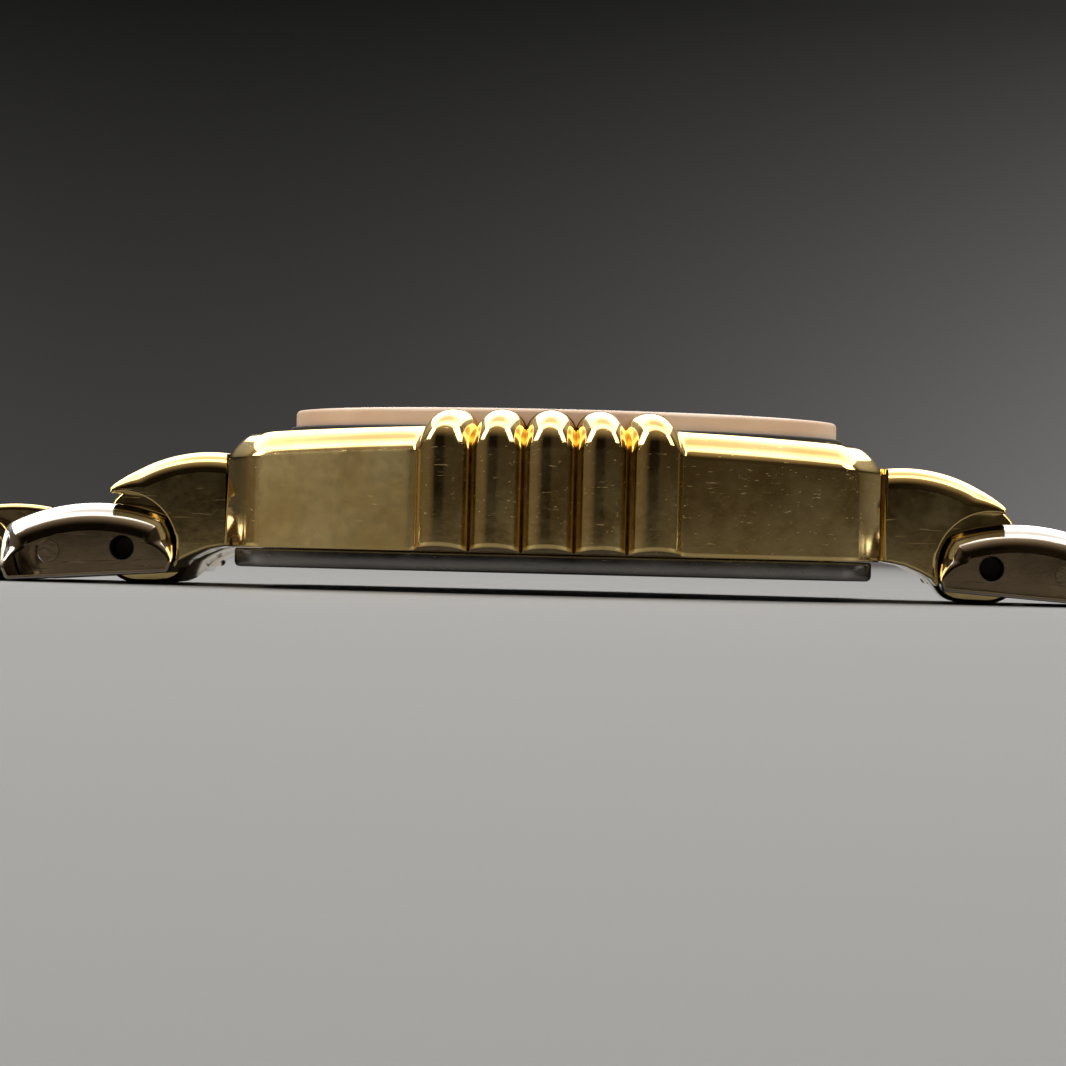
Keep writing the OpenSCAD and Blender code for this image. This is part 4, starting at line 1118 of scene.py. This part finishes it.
# Radius and distance from the crown's inner end, from the bottom of its recess to the middle of its cap.
crown_section = [(0, 1.1), (0.9, 1.1), (0.9, 0.74), (1.19, 0.74), (1.19, 0.16), (0.9, 0.16), (0.9, 0.0),
                 (1.5, 0.0), (1.6, 0.05), (1.66, 0.14), (1.76, 0.22), (1.8, 0.3), (1.8, 0.7), (1.8, 1.2),
                 (1.78, 1.36), (1.7, 1.48), (1.64, 1.54), (1.58, 1.66), (1.4, 1.78), (1.1, 1.85), (0.6, 1.89),
                 (0, CROWN_LEN)]
crown = lathe([(r, CROWN_IN + h) for r, h in crown_section], 240, axis="y", at=(0, 0, CROWN_Z), radial=knurl)
make("crown_knurled", crown, GOLD, "crown_and_stem", ["crown"])

# Materials of the CAD's nodes that stay. The link pins get theirs below.

KEPT = {
    BRUSHED: ("case_back_screws", "end_piece_screws", "battery", "crown_tube", "winding_stem",
              "clasp_hinge_pin"),
    GEAR_BRASS: ("main_plate", "cannon_pinion", "hour_wheel", "minute_wheel"),
    RUBBER: ("case_back_gasket", "crown_gasket"), RING_PLASTIC: ("movement_ring",), DIAL: ("dial",),
    BOARD: ("circuit_board",), COPPER: ("coil",),
}
kept = {name: mat for mat, names in KEPT.items() for name in names}
for name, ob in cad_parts.items():
    mat = kept.get(name) or (PIN_STEEL if name.startswith("link_pins") else None)
    if mat is not None:
        for slot in ob.material_slots:
            slot.material = mat

# Floor, a grid of square cells

FLOOR = floor_paint("pale_floor", (0.142, 0.143, 0.144), (0.128, 0.129, 0.13))
FLOOR_HALF = 900.0
FLOOR_CELLS = 8
FLOOR_GAP = 0.02
row = FLOOR_CELLS + 1
steps = [FLOOR_HALF * (2 * i / FLOOR_CELLS - 1) for i in range(row)]
corners = [(x, y, FLOOR_Z - FLOOR_GAP) for y in steps for x in steps]
firsts = [j * row + i for j in range(FLOOR_CELLS) for i in range(FLOOR_CELLS)]
cells = [(k, k + 1, k + row + 1, k + row) for k in firsts]
add_object("studio_floor", new_mesh("studio_floor", (corners, cells), FLOOR))

# Lights. Sizes and places are in metres.

CLOTH_WIDE = 0.62
CLOTH_DEEP = 0.77
CLOTH_Y = 0.215
CLOTH_Z = 0.30
SIDE_BOX = (0.13, 0.16)
SIDE_BOX_X = 0.27
SIDE_BOX_Y = -0.12
SIDE_BOX_Z = 0.20
SIDE_BOX_COLOUR = (1.0, 0.97, 0.93)


def area_light(name, energy, size, location, target, colour):
    data = bpy.data.lights.new(name, "AREA")
    data.energy = energy
    data.color = colour
    data.shape = "RECTANGLE"
    data.size, data.size_y = size
    ob = add_object(name, data)
    ob.location = location
    ob.rotation_euler = (Vector(target) - Vector(location)).to_track_quat("-Z", "Y").to_euler()
    return data


def cloth_strength(nt):
    """The cloth of the softbox fades towards the camera, and is dimmer straight above the watch."""
    x, y, _ = axes(nt, "Parametric", "NewGeometry")
    across = times(nt, maths(nt, "SUBTRACT", x, 0.5), CLOTH_WIDE / 0.2)
    along = times(nt, maths(nt, "SUBTRACT", y, 0.22), CLOTH_DEEP / 0.08)
    away = maths(nt, "SQRT", plus(nt, times(nt, across, across), times(nt, along, along)))
    return times(nt, remap(nt, away, 0.55, 1.3, 0.24, 1.0), remap(nt, y, 0.0, 0.06, 0.2, 1.0))


cloth = area_light("overhead_softbox", 4.3, (CLOTH_WIDE, CLOTH_DEEP), (0.0, CLOTH_Y, CLOTH_Z),
                   (0, CLOTH_Y, 0), (1.0, 0.985, 0.96))
nt, glow = start_nodes(cloth, "Emission", "OutputLight")
fill(nt, glow, {"Strength": cloth_strength(nt)})
for name, energy, side in (("left_softbox", 0.32, -1), ("right_softbox", 0.24, 1)):
    area_light(name, energy, SIDE_BOX, (side * SIDE_BOX_X, SIDE_BOX_Y, SIDE_BOX_Z), (0, 0, 0),
               SIDE_BOX_COLOUR)


def studio_walls(nt):
    """Strength and colour of the surroundings in each direction. Above 0 in y is behind the watch."""
    x, y, z = axes(nt, "Generated")
    behind = remap(nt, y, 0.0, 0.35)
    # Behind the watch: dark grey, lighter to the right and downwards.
    across = remap(nt, x, -0.1976, 0.0824, -0.14, 0.14)
    across_level = plus(nt, times(nt, times(nt, across, across), 1.7),
                         plus(nt, times(nt, across, 0.32), 0.055))
    back_level = times(nt, across_level, remap(nt, z, -0.1, 0.13, 2.3, 0.23))
    # Behind the camera: nearly dark in the middle, a dim room at the sides, and a paler wall to the left.
    left_wall = times(nt, remap(nt, x, -0.45, -0.78), remap(nt, x, -0.97, -1.2, 1.0, 0.0))
    room = remap(nt, maths(nt, "ABSOLUTE", plus(nt, x, 0.2)), 0.2, 0.42, 0.0, 0.03)
    side_level = plus(nt, times(nt, left_wall, 0.08), room)
    front_level = plus(nt, side_level, 0.008)
    level = plus(nt, times(nt, back_level, behind),
                  times(nt, front_level, maths(nt, "SUBTRACT", 1.0, behind)))
    # A glow from the ceiling on every side, and more light high up behind the watch.
    glow = remap(nt, z, 0.4, 0.88)
    ceiling = times(nt, times(nt, glow, glow), 0.45)
    high_behind = times(nt, behind, remap(nt, z, 0.17, 0.5, 0.0, 0.4))
    strength = plus(nt, plus(nt, level, ceiling), high_behind)
    return strength, mix_colour(nt, behind, (1.0, 0.8, 0.58), (1.0, 0.97, 0.94))


world = bpy.data.worlds.new("studio_world")
bpy.context.scene.world = world
nt, background = start_nodes(world, "Background", "OutputWorld")
strength, tint = studio_walls(nt)
fill(nt, background, {"Color": tint, "Strength": strength})

# Camera. The photo looks from 3.3 degrees to the right of square, so the near flutes seem off the middle.

CAMERA_TURN = math.radians(3.3)
CAMERA_ROLL = math.radians(-1.4)
# Metres to the right of the watch, away from it and above its back, along the turned view.
ASIDE = -0.00123
AWAY = 0.171
ABOVE = 0.0009

bpy.context.scene.view_settings.view_transform = "Standard"
camera = bpy.data.cameras.new("photo_camera")
camera.lens = 142.0
camera.sensor_width = 36.0
camera.clip_start = 0.005
camera.clip_end = 20.0
camera.shift_y = 0.016
cam = add_object("photo_camera", camera)
c, s = math.cos(CAMERA_TURN), math.sin(CAMERA_TURN)
cam.location = (ASIDE * c + AWAY * s, ASIDE * s - AWAY * c, ABOVE)
cam.rotation_euler = (math.radians(90), CAMERA_ROLL, CAMERA_TURN)
bpy.context.scene.camera = cam
